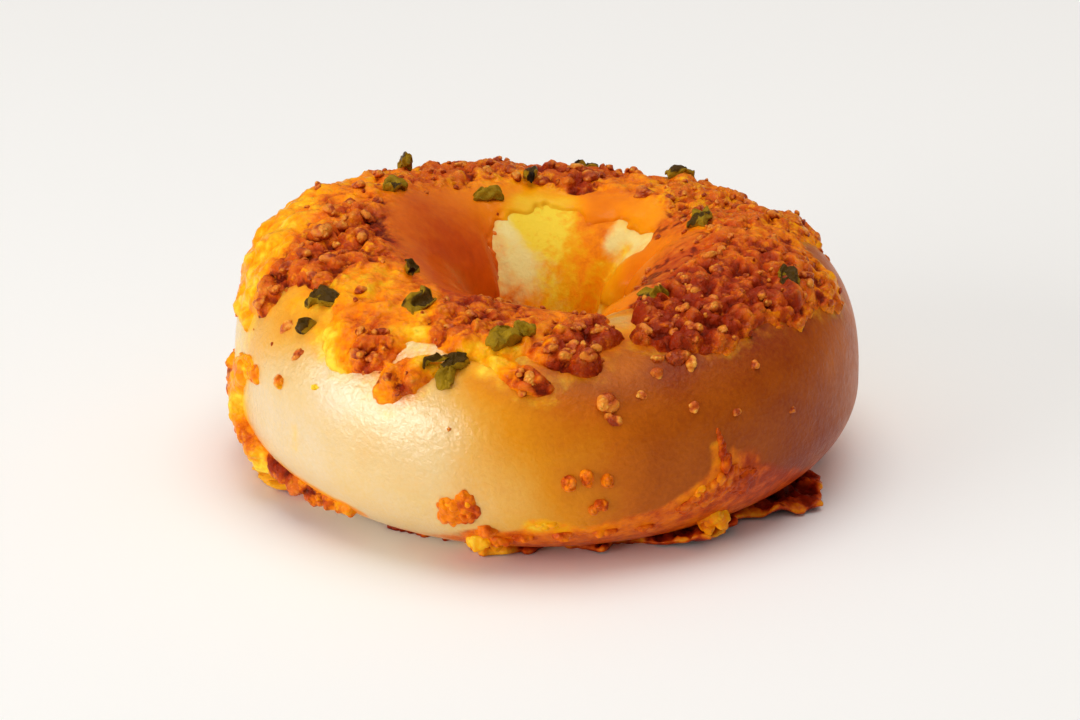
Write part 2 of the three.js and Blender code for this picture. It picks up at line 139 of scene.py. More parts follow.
# Drops and flakes of cheese that lie apart: round, over, length, width, thickness and turn, then
# tone and toast as in TINTS
DROPS = (
    # the outer left, above the run
    (203, 11.8, 8.4, 3.6, 1.0, 4, 0.34, 0.1), (200.5, 8.6, 6.6, 3.4, 1.0, 0, 0.28, 0.1),
    (207.6, 13, 5.0, 3.2, 0.8, 8, 0.46, 0.3), (204.6, 15.4, 3.4, 2.0, 0.7, 0, 0.36, 0.1),
    (218, 17.4, 2.3, 2.1, 0.8, 80, 0.50, 0.4), (228, 23.4, 1.8, 1.2, 0.6, 10, 0.12, 0.0),
    # the spot by the base at the front
    (256.9, -13.5, 5.6, 3.7, 1.0, 88, 0.60, 0.1), (257.6, -9.5, 3.2, 2.4, 0.9, 20, 0.46, 0.0),
    (260.2, -10.5, 5.6, 3.4, 1.0, 94, 0.74, 0.2), (259.9, -15.5, 3.2, 3.0, 1.0, 60, 0.80, 0.2),
    (258.5, -13, 4.8, 3.6, 0.8, 90, 0.64, 0.1), (260.6, -6.4, 1.8, 1.4, 0.7, 0, 0.44, 0.0),
    # lumps along the foot
    (263, -27.5, 3.8, 3.0, 1.3, 20, 0.66, 0.1), (261, -41, 4.0, 3.0, 2.0, 10, 0.24, 0.0),
    (264.6, -38, 4.4, 2.6, 1.5, 5, 0.66, 0.1), (263.4, -50, 1.8, 1.4, 1.2, 0, 0.30, 0.0),
    (269.5, -34, 3.8, 1.9, 1.0, 0, 0.74, 0.2), (274, -22, 3.4, 1.8, 0.5, 0, 0.30, 0.0),
    (276.4, -31, 3.4, 1.8, 1.0, 0, 0.74, 0.2), (284.5, -31, 4.0, 1.6, 0.9, 5, 0.70, 0.2),
    (292, -31, 4.4, 1.6, 0.9, 8, 0.78, 0.2),
    (308.2, -38, 4.2, 3.2, 2.4, 10, 0.40, 0.1), (306.4, -41, 3.0, 2.4, 2.2, 0, 0.46, 0.2),
    (309.6, -42, 2.4, 2.0, 1.8, 0, 0.34, 0.1), (307.4, -34, 2.0, 1.6, 1.6, 0, 0.30, 0.0),
    # five oily crumbs above the foot
    (277.5, 3, 2.1, 2.6, 1.5, 0, 0.74, 0.4), (280.5, 4.5, 2.3, 2.8, 1.6, 10, 0.72, 0.4),
    (284, 3, 2.2, 2.4, 1.5, 0, 0.78, 0.4), (283, -7.5, 2.3, 2.6, 1.5, 20, 0.74, 0.3),
    (281.8, -10, 2.1, 1.8, 1.2, 0, 0.68, 0.3),
    # the drip at the right: a thin ridge, and the flat run that it ends in
    (305, 11.5, 3.6, 1.2, 0.6, 96, 0.92, 0.0), (305.4, 6.5, 4.2, 1.6, 0.7, 93, 0.94, 0.0),
    (306.2, 1.5, 4.6, 2.0, 0.8, 86, 0.88, 0.0), (305, -3.5, 2.8, 1.5, 0.5, 60, 0.62, 0.0),
    (306.6, -6, 6.0, 3.4, 0.55, 55, 0.86, 0.0), (303.2, -11, 6.0, 3.6, 0.5, 45, 0.82, 0.0),
    (310.4, -9.5, 5.6, 4.6, 0.5, 10, 0.94, 0.0), (300, -16, 5.6, 3.2, 0.5, 35, 0.80, 0.0),
    (300.8, -9.4, 2.6, 1.3, 0.4, 42, 0.40, 0.0),
    # the far side
    (110, -8, 5.4, 3.6, 0.9, 84, 0.46, 0.2), (113, -4, 3.0, 2.6, 0.9, 30, 0.60, 0.3),
    (64, 6, 4.6, 2.2, 0.8, 95, 0.62, 0.3), (150, -16, 6.0, 4.0, 1.0, 70, 0.40, 0.1),
    (30, 2, 4.4, 1.8, 0.7, 88, 0.78, 0.2), (31, -5, 3.4, 2.4, 0.7, 60, 0.66, 0.1),
    (84, 16, 2.4, 2.0, 0.9, 0, 0.55, 0.4), (128, 14, 2.6, 1.8, 0.8, 70, 0.40, 0.2),
    (10, -24, 5.0, 3.2, 0.9, 20, 0.60, 0.1), (75, -26, 5.4, 3.0, 0.9, 0, 0.50, 0.2),
)
# Where thin cheese and its fat stained the bare crust: round and over at one end, the same at the
# other, reach, strength, and tone as in TINTS
STAINS = (
    # the far wall of the hole
    (101, 112, 98, 127, 5.0, 1.0, -0.12), (91, 108, 86, 116, 3.0, 0.70, 0.10),
    (90, 119, 82, 131, 4.4, 1.0, -0.04), (73, 106, 69, 122, 4.6, 1.0, 0.62),
    (71, 122, 72, 136, 4.0, 1.0, 0.52), (82, 142, 84, 160, 6.0, 0.75, 0.16),
    (67, 138, 63, 162, 5.0, 0.85, 0.55), (47, 128, 52, 144, 2.0, 0.60, 0.20),
    # (120, 166) to (160, 168): orange low in the hole, partly a cheese stain and partly painted
    # shade
    (53, 144, 50, 158, 2.6, 0.90, 0.16), (120, 166, 160, 168, 6.0, 0.80, 0.64),
    (34, 146, 26, 156, 4.0, 0.60, 0.50), (320, 120, 350, 134, 6.0, 0.90, 0.70),
    # the front left, where the cheese slid
    (214, 54, 226, 46, 5.0, 0.45, 0.30), (250, 50, 262, 56, 4.0, 0.25, 0.30),
    (292, 92, 302, 90, 3.0, 0.30, 0.25),
    # the drip at the right
    (304.0, 9, 304.4, -3, 1.2, 0.75, 0.50), (307.6, 5, 308.4, -2, 1.1, 0.60, 0.58),
    (303.4, -5, 299, -12, 2.2, 0.90, 0.36), (307, -6, 300, -18, 5.0, 1.0, 0.84),
    (300, -19, 286, -28, 3.6, 0.95, 0.66), (296, -24, 310, -24, 4.0, 1.0, 0.86),
    (311, -4, 313, -12, 3.6, 1.0, 0.90), (312, -10, 312.4, -14, 1.8, 1.0, 1.3),
    (314, -16, 322, -30, 6.0, 0.95, 0.96), (322, -30, 336, -38, 5.0, 0.85, 0.92),
    # the foot
    (262, -34, 296, -34, 3.0, 1.0, 0.66), (262, -48, 312, -48, 8.0, 1.0, 0.80),
    (244, -50, 262, -48, 4.0, 0.4, 0.55), (272, -22, 275, -24, 3.0, 0.90, 0.22),
    (257, -10, 258, -18, 3.4, 0.40, 0.30), (277, -26, 283, -28, 2.2, 0.60, 0.40),
    (195, 6, 204, -22, 4.4, 0.60, 0.14), (206, -26, 234, -38, 3.2, 0.75, 0.40),
    (340, -36, 366, -40, 5.0, 0.70, 0.72), (384, -34, 402, -42, 6.0, 0.60, 0.55),
    (428, -42, 462, -38, 5.0, 0.65, 0.66), (486, -40, 500, -34, 4.6, 0.60, 0.50),
    (516, -40, 548, -36, 5.0, 0.70, 0.45), (223.5, 4, 223.6, 0, 1.4, 0.40, 0.10),
)
# Colours of the cheese, one row for each place: round, over, reach, tone from lemon yellow at 0
# to deep red-orange at 1, and how toasted it is from 0 to 1
TINTS = (
    # the outer left: a bright rim, and a toasted slope above it
    (198, 28, 4, 0.12, 0.0), (192, 36, 7, 0.22, 0.0), (184, 50, 9, 0.30, 0.02),
    (176, 60, 9, 0.34, 0.05), (166, 72, 8, 0.32, 0.08), (156, 80, 6, 0.42, 0.12),
    (205.5, 45, 4, 0.65, 0.80), (205, 56, 4.5, 0.62, 0.85), (205, 68, 5.5, 0.65, 0.80),
    (194, 54, 5, 0.26, 0.0), (191, 66, 5, 0.34, 0.05), (181, 74, 5, 0.40, 0.10),
    (199, 77, 6, 0.60, 0.75), (190, 85, 7, 0.62, 0.85), (208, 74, 6, 0.70, 0.95),
    (205, 86, 7, 0.80, 0.80), (180, 88, 7, 0.65, 0.55), (172, 88, 6, 0.60, 0.35),
    (196, 94, 7, 0.70, 0.60), (170, 98, 7, 0.75, 0.45), (184, 98, 6, 0.72, 0.40),
    # the left wall of the hole, smooth and deep orange
    (168, 112, 8, 0.86, 0.10), (190, 116, 10, 0.81, 0.08), (178, 130, 10, 0.88, 0.05),
    (225, 108, 8, 0.90, 0.15), (152, 122, 7, 0.84, 0.05), (140, 110, 7, 0.74, 0.10),
    (190, 146, 8, 0.93, 0.0), (160, 144, 7, 0.93, 0.0), (244, 106, 6, 0.85, 0.20),
    # the front left
    (221, 81, 4.5, 0.18, 0.05), (218, 90, 5, 0.44, 0.20), (229, 76, 5, 0.53, 0.15),
    (226, 88, 5, 0.62, 0.30), (231, 66, 4.5, 0.58, 0.25), (229, 49, 2.6, 0.12, 0.0),
    (231.5, 40, 2.8, 0.08, 0.0), (234, 54, 4, 0.72, 0.35), (237, 47, 3, 0.78, 0.55),
    (239, 56, 3, 0.75, 0.45), (234, 46, 2.4, 0.55, 0.25), (240, 64, 4, 0.56, 0.25),
    (243, 66, 2.6, 0.14, 0.0), (238, 84, 4, 0.34, 0.10), (236, 72, 4, 0.66, 0.35),
    # the tongue
    (243.6, 34, 2.0, 0.52, 0.25), (246.5, 38, 2.4, 0.76, 0.42), (245.5, 43, 1.8, 0.48, 0.25),
    (248.5, 47, 2.4, 0.62, 0.32), (250.5, 52.5, 2, 0.42, 0.12),
    # the near rim
    (248, 82, 3, 0.55, 0.35), (251, 77, 3, 0.72, 0.55), (255, 73, 3, 0.62, 0.30),
    (256, 86, 6, 0.86, 0.80), (259, 94, 5, 0.78, 0.60), (260, 80, 4.5, 0.68, 0.55),
    (257.5, 67, 3, 0.55, 0.15), (264, 72, 4, 0.22, 0.05), (264.5, 62, 3, 0.15, 0.0),
    (268, 55, 2.2, 0.62, 0.20), (271, 50, 2.6, 0.75, 0.80), (268, 84, 4.5, 0.50, 0.25),
    (275, 88, 4.5, 0.55, 0.20), (274, 78, 3.5, 0.60, 0.30), (281, 83, 4.5, 0.80, 0.85),
    (287, 82, 3.5, 0.95, 1.00), (276.5, 66, 3, 0.95, 0.95), (281.5, 63, 3, 0.90, 1.00),
    (280, 73, 3, 0.92, 0.90), (272, 70, 2.5, 0.68, 0.50), (270, 100, 7, 0.72, 0.35),
    (284, 99, 5, 0.72, 0.45), (256, 103, 7, 0.82, 0.50),
    # the right
    (299, 78, 2.6, 0.75, 0.70), (306, 78, 5, 0.98, 1.00), (311, 88, 5, 0.98, 0.95),
    (308, 68, 4.5, 0.95, 0.90), (320, 80, 8, 0.94, 0.90), (311, 120, 5, 0.55, 0.20),
    (328, 122, 6, 0.62, 0.30), (338, 116, 6, 0.80, 0.85), (352, 118, 7, 0.68, 0.45),
    (334, 94, 8, 0.84, 0.75), (352, 84, 9, 0.68, 0.60), (336, 70, 8, 0.82, 0.80),
    (5, 124, 7, 0.62, 0.30), (14.5, 131, 5, 0.62, 0.20), (27, 139, 5, 0.55, 0.10),
    (14, 92, 9, 0.60, 0.50), (22, 60, 8, 0.45, 0.45), (350, 50, 7, 0.45, 0.35),
    # the far wall of the hole
    (100, 118, 4, 0.12, 0.0), (92, 111, 4, 0.15, 0.0), (90, 120, 4, 0.04, 0.0),
    (82, 113, 3, 0.15, 0.0), (79, 130, 4, 0.45, 0.0), (71, 124, 4.5, 0.62, 0.05),
    (72, 112, 4, 0.60, 0.08), (66, 102, 5, 0.64, 0.12), (51, 108, 4, 0.40, 0.10),
    (80, 142, 5, 0.30, 0.0), (68, 150, 5, 0.55, 0.0), (84, 156, 6, 0.50, 0.0),
    (44, 136, 3, 0.22, 0.0), (38, 150, 4, 0.25, 0.0), (100, 160, 6, 0.75, 0.0),
    # the far crown and the far side
    (117, 80, 6, 0.94, 1.00), (113, 90, 5, 0.50, 0.20), (104, 89, 4.5, 0.42, 0.15),
    (108, 79, 4, 0.80, 0.95), (94, 95, 4, 0.40, 0.10), (88, 82, 6, 0.92, 1.00),
    (78, 82, 6, 0.90, 0.90), (68, 90, 4.5, 0.58, 0.35), (60, 90, 6, 0.52, 0.20),
    (133, 84, 8, 0.68, 0.70), (138, 106, 6, 0.66, 0.25), (146, 90, 6, 0.62, 0.30),
    (122, 104, 5, 0.50, 0.20), (106, 56, 9, 0.40, 0.45), (130, 58, 9, 0.42, 0.35),
    (62, 46, 8, 0.35, 0.35), (84, 60, 8, 0.45, 0.60), (46, 66, 9, 0.50, 0.55),
    (38, 88, 9, 0.50, 0.60), (152, 58, 8, 0.40, 0.20),
    # low down
    (196, -2, 4, 0.22, 0.0), (197, -9, 4, 0.32, 0.05), (199, -15, 4, 0.62, 0.25),
    (203, -20, 4, 0.70, 0.40), (207.5, -27.5, 2.6, 0.04, 0.0), (204, -28, 3, 0.30, 0.20),
    (212.5, -29, 2.4, 0.92, 0.85), (217, -33, 3, 0.80, 0.80), (222, -34, 3, 0.66, 0.60),
    (182, -18, 9, 0.42, 0.30), (202, 10, 3, 0.36, 0.05), (209, 12, 2, 0.50, 0.20),
)
# Toasted crumbs that are placed one by one: round, over, length, width and turn
PLACED_CRUMBS = (
    # on bare dough
    (285, 39.5, 4.6, 3.7, 70), (285.6, 29.5, 3.4, 2.7, -40), (291.7, 41.5, 2.3, 1.8, 0),
    (301, 30, 2.3, 1.9, 30), (296, 53.5, 3.0, 2.4, 10),
    (214.5, 40.5, 3.4, 2.2, 50), (221.3, 33, 3.6, 1.6, 50), (257, 22, 0.9, 0.8, 0),
    (212.5, 29.5, 0.9, 0.8, 0),
    (309, 21, 1.8, 1.5, 0), (316, 40, 2.2, 1.8, 20), (322, 12, 1.7, 1.4, 0),
    # on the cheese: the left slope
    (194.5, 80, 5.0, 3.6, 10), (190.5, 86, 3.4, 2.6, 30), (174.5, 88, 3.2, 2.6, 0),
    (181, 83, 3.4, 2.4, 40), (197, 90.5, 4.4, 3.2, -20), (204.5, 85, 3.0, 2.4, 0),
    (208, 77.5, 3.4, 2.4, 60), (200.5, 70, 4.0, 2.8, 40), (205.5, 72, 3.0, 2.4, -30),
    (202.5, 61, 3.6, 2.4, 60), (206, 49.5, 2.6, 1.9, 50), (205, 41, 3.0, 2.4, 60),
    (184.5, 94, 3.0, 2.4, 0), (171.5, 96, 2.8, 2.2, 20), (212, 67, 2.8, 2.0, 30),
    (165, 88, 2.8, 2.2, 70), (186, 76, 2.4, 1.9, 20), (199, 84, 2.2, 1.8, 0),
    # the front left and the near rim
    (236.5, 46, 2.6, 2.0, 0), (239.6, 47.5, 2.4, 2.0, 20), (234, 57, 2.4, 1.8, 60),
    (238, 62, 2.2, 1.8, 0), (224, 76, 2.2, 1.7, 30), (271, 50, 3.6, 3.0, -40),
    (268.6, 52.5, 2.2, 1.8, 0), (254, 86, 2.8, 2.2, 0), (251, 77, 2.6, 1.6, 10),
    (258, 90, 3.0, 2.2, 20), (262, 83, 2.2, 1.8, 50), (277.2, 64, 3.4, 2.6, 20),
    (281.8, 61.5, 3.6, 2.8, 40),
    (279.6, 69, 3.0, 2.4, 0), (283.6, 65.5, 2.6, 2.2, 0), (274.5, 67, 2.6, 2.0, 20),
    (287, 82, 3.0, 2.0, 20), (282, 84, 2.6, 2.2, 0), (272, 72, 2.4, 1.9, 0),
    # the right
    (301.5, 59.5, 4.8, 3.9, 20), (303.5, 54, 3.2, 2.6, 60), (297.6, 62, 2.4, 2.0, 0),
    (297.6, 78, 2.4, 4.0, 8), (308, 69, 2.4, 3.4, 20), (308, 80, 2.8, 2.2, 0),
    (310.6, 79, 2.2, 1.8, 0), (304.5, 73, 2.6, 2.2, 30), (312, 84, 3.0, 2.4, 50),
    (316, 74, 3.6, 2.8, 0), (321, 88, 3.6, 2.8, 30), (313, 62, 3.2, 2.6, 10),
)
# Larger crumbs strewn over bands of the topping: count, round, over and length from and to
STREWN_BANDS = (
    (30, (-42, 75), (50, 98), (2.0, 4.2)),
    (22, (75, 165), (56, 98), (2.0, 4.0)),
    (14, (0, 150), (14, 50), (1.4, 2.8)),
)

# Chopped pepper: round, over, length, width, turn, lift of one end, how charred it is, and how
# much of its top is skin rather than flesh
PEPPERS = (
    (217.5, 63.5, 5.8, 4.2, 25, 8, 0.45, 1.0), (220.3, 47.5, 2.6, 1.9, 70, 8, 0.60, 0.9),
    (158, 96, 5.2, 3.4, 10, 8, 0.35, 0.4), (133, 77, 3.6, 1.8, 75, 40, 0.55, 0.7),
    (239, 84, 6.6, 4.0, 85, 12, 0.10, 0.35), (223, 98, 3.2, 1.8, -30, 14, 0.60, 0.9),
    (118, 107, 5.0, 3.4, 5, 6, 0.30, 0.2), (99, 93, 4.2, 2.0, 85, 20, 0.95, 1.0),
    (255.6, 57, 4.2, 3.4, 10, 10, 0.35, 0.9), (255.3, 48, 3.6, 3.0, 85, 4, 0.0, 0.1),
    (252, 51.5, 3.8, 1.3, 55, 20, 0.50, 1.0), (264.5, 71, 5.2, 4.0, 35, 6, 0.0, 0.1),
    (268.6, 79.5, 3.6, 2.6, -20, 8, 0.25, 0.4), (312, 97, 4.0, 3.4, -20, 10, 0.45, 0.6),
    (340, 66, 5.4, 3.8, 40, 10, 0.30, 0.8), (18, 100, 5.2, 4.0, -50, 6, 0.20, 0.3),
    (58, 70, 5.6, 3.8, 75, 6, 0.35, 0.7), (84, 60, 4.6, 3.2, 15, 12, 0.60, 0.9),
)

SQUARENESS = 4.0  # of a piece of pepper, where 2 is round

# The crisp frill round the foot: round, width in degrees and reach
FRILLS = (
    (198, 16, 10.5), (262, 7, 4.6), (284, 8, 2.6), (308, 13, 9.0), (334, 17, 12.2),
    (0, 16, 7.0), (55, 26, 5.4), (110, 20, 6.4), (156, 18, 7.0),
)
# Where the frill stayed yellow: round, width in degrees and how yellow
YELLOW_FRILLS = ((200, 20, 1.0), (263, 6, 0.8), (308.5, 3, 0.6))

# Places where the crust browned more or less than round about: round, over, reach and bake
BAKED_PLACES = (
    (212, 48, 9, 0.50), (222, 56, 7, 0.48), (205, 30, 8, 0.36), (232, 30, 9, 0.10),
    (247, 60, 9, 0.10), (247, 24, 11, 0.16), (297, 94, 5, 0.10), (289, 66, 7, 0.78),
)
DARKEST_SIDE = 325  # where round the ring the crust browned most
BROWNED_BACK = ((70, 60, 0.6),)  # and, as in YELLOW_FRILLS, where at the back
# Shares of the browning: everywhere, on the crown and at the darkest side, then what is left of
# these low down, everywhere and at the darkest side, where it is partly painted shade
BAKE = {"least": 0.22, "crown": 0.22, "side": 0.62, "low": 0.22, "low_side_and_shade": 0.9}
OIL_SPILL = 2.6  # how far the cheese's fat spread from it over the crust

CHEESE_EDGE = (0.26, 0.62)  # cover where the cheese starts, and where it is whole
TOASTED_FROM = (0.12, 0.75)  # toast where the cheese starts to be toasted, and where it is
SMOOTH_WALL = (94, 110)  # over which its lumps end, in the hole
BURIED = 1.2  # how deep in the dough its skin is closed
# Soft lumps in layers, the share of each and its size: the cheese's edge, where it is toasted, its
# swell and its tone, then the frill's edge and the drops
EDGE_LUMPS = ((0.22, 2.6), (0.20, 1.3), (0.16, 0.9))
TOAST_LUMPS = ((0.28, 4.2), (0.25, 1.9), (0.16, 1.1))
SWELL_LUMPS = ((0.40, 4.4), (0.28, 2.0))
TONE_LUMPS = ((0.12, 3.3), (0.20, 1.5))
FRILL_LUMPS = ((1.4, 3.4), (1.0, 1.5), (0.6, 0.7))
DROP_LUMPS = ((0.28, 2.0), (0.16, 0.9))

# Points round the ring lie closest together here, and are moved by up to this many degrees
CLOSEST_ROUND, CLOSEST_SHIFT = 255, 18

# Camera: its place from the bagel's middle, and the point that it looks at
CAMERA_PLACE = Vector((31.2, -457.9, 200.8))
CAMERA_AIM = Vector((0.0, -2.0, 17.0))
CAMERA_ROLL = 0.57  # in degrees
SENSOR_WIDTH = 36.0
# The white surroundings: height on a sphere round the scene, from 0 at the horizon to 1, and
# colour
SKY_SHADES = (
    (0.0, (0.30, 0.29, 0.28)), (0.4, (0.38, 0.37, 0.36)), (0.62, (1.0, 0.98, 0.95)),
    (1.0, (1.4, 1.38, 1.35)),
)
# Lamps: name, place in metres, width, height and share of the key's power
LAMPS = (
    ("key", (-0.83, -0.53, 0.27), 1.00, 0.52, 1.0),
    ("overhead", (0.05, 0.02, 1.50), 1.30, 1.30, 1.95),
    ("glint", (-0.67, -0.62, 0.14), 0.20, 0.14, 0.09),
)
LAMP_WHITE = (1.0, 0.98, 0.95)
PAPER_WHITE = (0.97, 0.965, 0.955, 1.0)
FLOOR_CORNERS = ((-3, -3, 0), (3, -3, 0), (3, 3, 0), (-3, 3, 0))  # in metres


def smooth(t):
    return t * t * (3 - 2 * t)


def ramp(value, low, high):
    """0 at low and below, 1 at high and above, with a smooth rise between."""
    return smooth(np.clip((value - low) / (high - low), 0.0, 1.0))


def angle_gap(a, b):
    return (a - b + 540.0) % 360.0 - 180.0


def srgb(red, green, blue):
    """A colour given as 0 to 255 on screen, as Blender's linear values."""
    channels = [c / 255 for c in (red, green, blue)]
    return tuple(c / 12.92 if c < 0.04045 else ((c + 0.055) / 1.055) ** 2.4 for c in channels)


# --- noise in space, the same as in the solid ---------------------------------------------

def corner_value(corner):
    """A fixed number from -1 to 1 for each corner of a cubic lattice."""
    mixed = np.sin(corner @ np.array([127.1, 311.7, 74.7])) * 43758.5453
    return 2 * (mixed - np.floor(mixed)) - 1


def lumpiness(points, size):
    """Soft lumps from -1 to 1: the lattice's values, blended smoothly between corners."""
    scaled = points / size
    cell = np.floor(scaled)
    blend = smooth(scaled - cell)
    value = np.zeros(points.shape[:-1])
    for step in itertools.product((0, 1), repeat=3):
        share = np.prod(np.where(step, blend, 1 - blend), axis=-1)
        value += share * corner_value(cell + step)
    return value


def layered(points, layers):
    return sum(share * lumpiness(points, size) for share, size in layers)


def cobbles(points, size):
    """Round-topped bumps packed close together, 0 in the clefts and 1 on top."""
    scaled = points / size
    cell = np.floor(scaled)
    nearest = np.full(points.shape[:-1], 9.0)
    for step in itertools.product((-1, 0, 1), repeat=3):
        corner = cell + step
        jitter = [0.5 + 0.4 * corner_value(corner + shift) for shift in (0.0, 17.0, 43.0)]
        gap = np.linalg.norm(scaled - corner - np.stack(jitter, axis=-1), axis=-1)
        nearest = np.minimum(nearest, gap)
    return np.sqrt(np.clip(1 - (nearest / 0.68) ** 2, 0, 1))


# --- the ring -----------------------------------------------------------------------------

def swell(round_, waves):
    a = np.radians(round_)
    return sum(height * np.cos(count * a + phase) for count, height, phase in waves)


def bells(round_, rows, least=0.0):
    """The highest of some bells round the ring: middle, width in degrees and height of each."""
    level = np.full(np.shape(round_), least)
    for middle, width, height in rows:
        gap = angle_gap(round_, middle) / width
        level = np.maximum(level, height * np.exp(-gap * gap))
    return level


def crown_height(round_):
    a = np.radians(round_)
    lean = CROWN_LEAN["x"] * np.cos(a) + CROWN_LEAN["y"] * np.sin(a)
    oval = CROWN_LEAN["oval"] * np.cos(2 * a)
    return dough_sizes().crown_height + lean + oval + swell(round_, CROWN_WAVES)


def crease_depth(round_, over):
    """Creases where the rolled dough was pinched together, deepest on the hole's wall."""
    in_hole = ramp(over, *CREASES_START) * (1 - ramp(over, *CREASES_END))
    depth = 0
    for middle, width, deep in CREASES:
        gap = angle_gap(round_, middle + CREASE_LEAN * (over - 140)) / width
        depth = depth + deep * np.exp(-gap * gap)
    return depth * in_hole


def dough_point(round_, over):
    """The bare dough's surface at places on the ring."""
    sizes = dough_sizes()
    c, s = np.cos(np.radians(over)), np.sin(np.radians(over))
    outer_bend = np.where(s > 0, 2 / sizes.shoulder, 2 / sizes.tuck)
    bend = np.where(c > 0, outer_bend, 1.0)
    across = np.sign(c) * np.abs(c) ** bend
    up = np.sign(s) * np.abs(s) ** bend
    outer = sizes.outer_half_width + swell(round_, OUTER_WAVES)
    inner = sizes.ring_radius - sizes.neck_radius - swell(round_, NECK_WAVES)
    crease = crease_depth(round_, over)
    r = sizes.ring_radius + np.where(c > 0, outer, inner - crease) * across
    top = crown_height(round_) - sizes.belly_height - 0.6 * crease
    z = sizes.belly_height + np.where(s > 0, top, sizes.under_half_height) * up
    a = np.radians(round_)
    return np.stack([r * np.cos(a), r * np.sin(a), z], axis=-1)


def directions_at(round_, over):
    """Unit directions on the dough: along the ring, over it and out of it."""
    step = 0.5
    along = dough_point(round_ + step, over) - dough_point(round_ - step, over)
    across = dough_point(round_, over + step) - dough_point(round_, over - step)
    along /= np.linalg.norm(along, axis=-1, keepdims=True)
    out = np.cross(along, across)
    out /= np.linalg.norm(out, axis=-1, keepdims=True)
    return along, np.cross(out, along), out


def puddle_share(round_, over, puddle_round, puddle_over, reach):
    """How fully one puddle covers each place, from 0 to 1."""
    sizes = dough_sizes()
    c = np.cos(np.radians(over))
    inner = sizes.ring_radius - sizes.neck_radius
    circle = sizes.ring_radius + np.where(c > 0, sizes.outer_half_width, inner) * c
    along = np.radians(angle_gap(round_, puddle_round)) * circle
    across = np.radians(angle_gap(over, puddle_over)) * sizes.outer_half_width
    return smooth(np.clip(FADED - np.hypot(along, across) / reach, 0, 1))


def run_share(round_, over, start_round, start_over, end_round, end_over, reach):
    """The same for a run of cheese between two places."""
    sizes = dough_sizes()
    circle = sizes.ring_radius + sizes.outer_half_width * math.cos(math.radians(start_over))
    along = np.radians(angle_gap(round_, start_round)) * circle
    across = np.radians(angle_gap(over, start_over)) * sizes.outer_half_width
    run_along = math.radians(end_round - start_round) * circle
    run_across = math.radians(end_over - start_over) * sizes.outer_half_width
    length = run_along ** 2 + run_across ** 2
    way = np.clip((along * run_along + across * run_across) / length, 0, 1)
    gap = np.hypot(along - way * run_along, across - way * run_across)
    return smooth(np.clip(FADED - gap / reach, 0, 1))


def cheese_cover(round_, over, puddles, spill=0.0):
    """How fully cheese covers each place, and how thick; spill widens every puddle."""
    bare = np.ones(np.broadcast(round_, over).shape)
    total, weight = np.zeros(bare.shape), np.full(bare.shape, 1e-9)
    for *place, reach, thick in puddles:
        share_of = run_share if len(place) == 4 else puddle_share
        share = share_of(round_, over, *place, reach + spill)
        bare *= 1 - share
        total += share * thick
        weight += share
    return 1 - bare, total / weight


def cheese_tint(round_, over):
    """Tone and toast of the cheese at each place, blended between the rows of TINTS."""
    shape = np.broadcast(round_, over).shape
    weight = np.full(shape, 0.02)
    tone, toast = 0.5 * weight, 0.4 * weight
    for tint_round, tint_over, reach, tint_tone, tint_toast in TINTS:
        share = puddle_share(round_, over, tint_round, tint_over, 1.3 * reach) / reach
        weight += share
        tone += share * tint_tone
        toast += share * tint_toast
    return tone / weight, toast / weight


def stain_at(round_, over):
    """How strongly the bare crust is stained by cheese at each place, and in what tone."""
    shape = np.broadcast(round_, over).shape
    clean, tone, weight = np.ones(shape), np.zeros(shape), np.full(shape, 1e-9)
    for *place, reach, strength, stain_tone in STAINS:
        share = run_share(round_, over, *place, reach)
        clean *= 1 - strength * share
        tone += share * stain_tone
        weight += share
    return 1 - clean, tone / weight


def warped(points, size, amount):
    """Points pushed about by soft noise, so that what is drawn at them looks less regular."""
    push = [lumpiness(points + shift, size) for shift in (5.0, 23.0, 61.0)]
    return points + amount * np.stack(push, axis=-1)


def cheese_relief(round_, over, puddles):
    """Height of the cheese's top over the dough, below 0 where there is none, and its looks.

    Its lumps end at the top of the hole's wall, further down where it is toasted."""
    sizes = bpy.context.scene.bagel_cheese
    points = dough_point(round_, over)
    cover, thick = cheese_cover(round_, over, puddles)
    tone, toast = cheese_tint(round_, over)
    body = ramp(cover + layered(points, EDGE_LUMPS), *CHEESE_EDGE)
    rough = 1 - ramp(over + 14 * (0.5 - toast), *SMOOTH_WALL)
    grain = 0.15 + 0.85 * rough
    patches = layered(points, TOAST_LUMPS) * (0.5 + 0.7 * toast) * grain
    toasty = ramp(toast + patches, *TOASTED_FROM) * body
    soft = layered(points, SWELL_LUMPS)
    drawn = warped(points, 2.2, 0.8)
    big = cobbles(drawn, sizes.cobble_size)
    small = cobbles(drawn + 31.0, 0.5 * sizes.cobble_size)
    fine = lumpiness(points, 1.2)
    domed = body * (0.18 + 0.82 * cover ** 2)
    height = thick * domed * (0.72 + rough * soft)
    height += sizes.toast_height * (0.34 + 0.66 * toasty) * rough * body * (big - 0.40)
    height += 0.45 * sizes.toast_height * (0.4 + 0.6 * toasty) * rough * body * (small - 0.5)
    height += sizes.roughness * rough * body * fine
    height = np.where(body > 0, np.maximum(height, 0.12 * body), 0) - sizes.sink * (1 - body)
    # The lumps' height, peak, makes their tops paler and yellower and their clefts darker and
    # redder in the finish: painted light and painted shade.
    peak = np.clip(0.50 * big + 0.32 * small + 0.25 * soft + 0.08 * fine, 0, 1)
    drift = layered(points, TONE_LUMPS) - 0.24 * (peak - 0.45)
    tone = tone + (0.1 + 0.9 * rough) * drift
    looks = {"tone": tone, "toasty": toasty, "peak": peak, "grain": grain}
    return points, height, looks


def topped_point(round_, over):
    """The topmost surface at places on the ring: the dough, or the cheese where it lies."""
    points, height, _ = cheese_relief(round_, over, PUDDLES if over > 20 else RUNS)
    out = directions_at(round_, over)[2]
    return points + np.maximum(height, 0)[..., None] * out


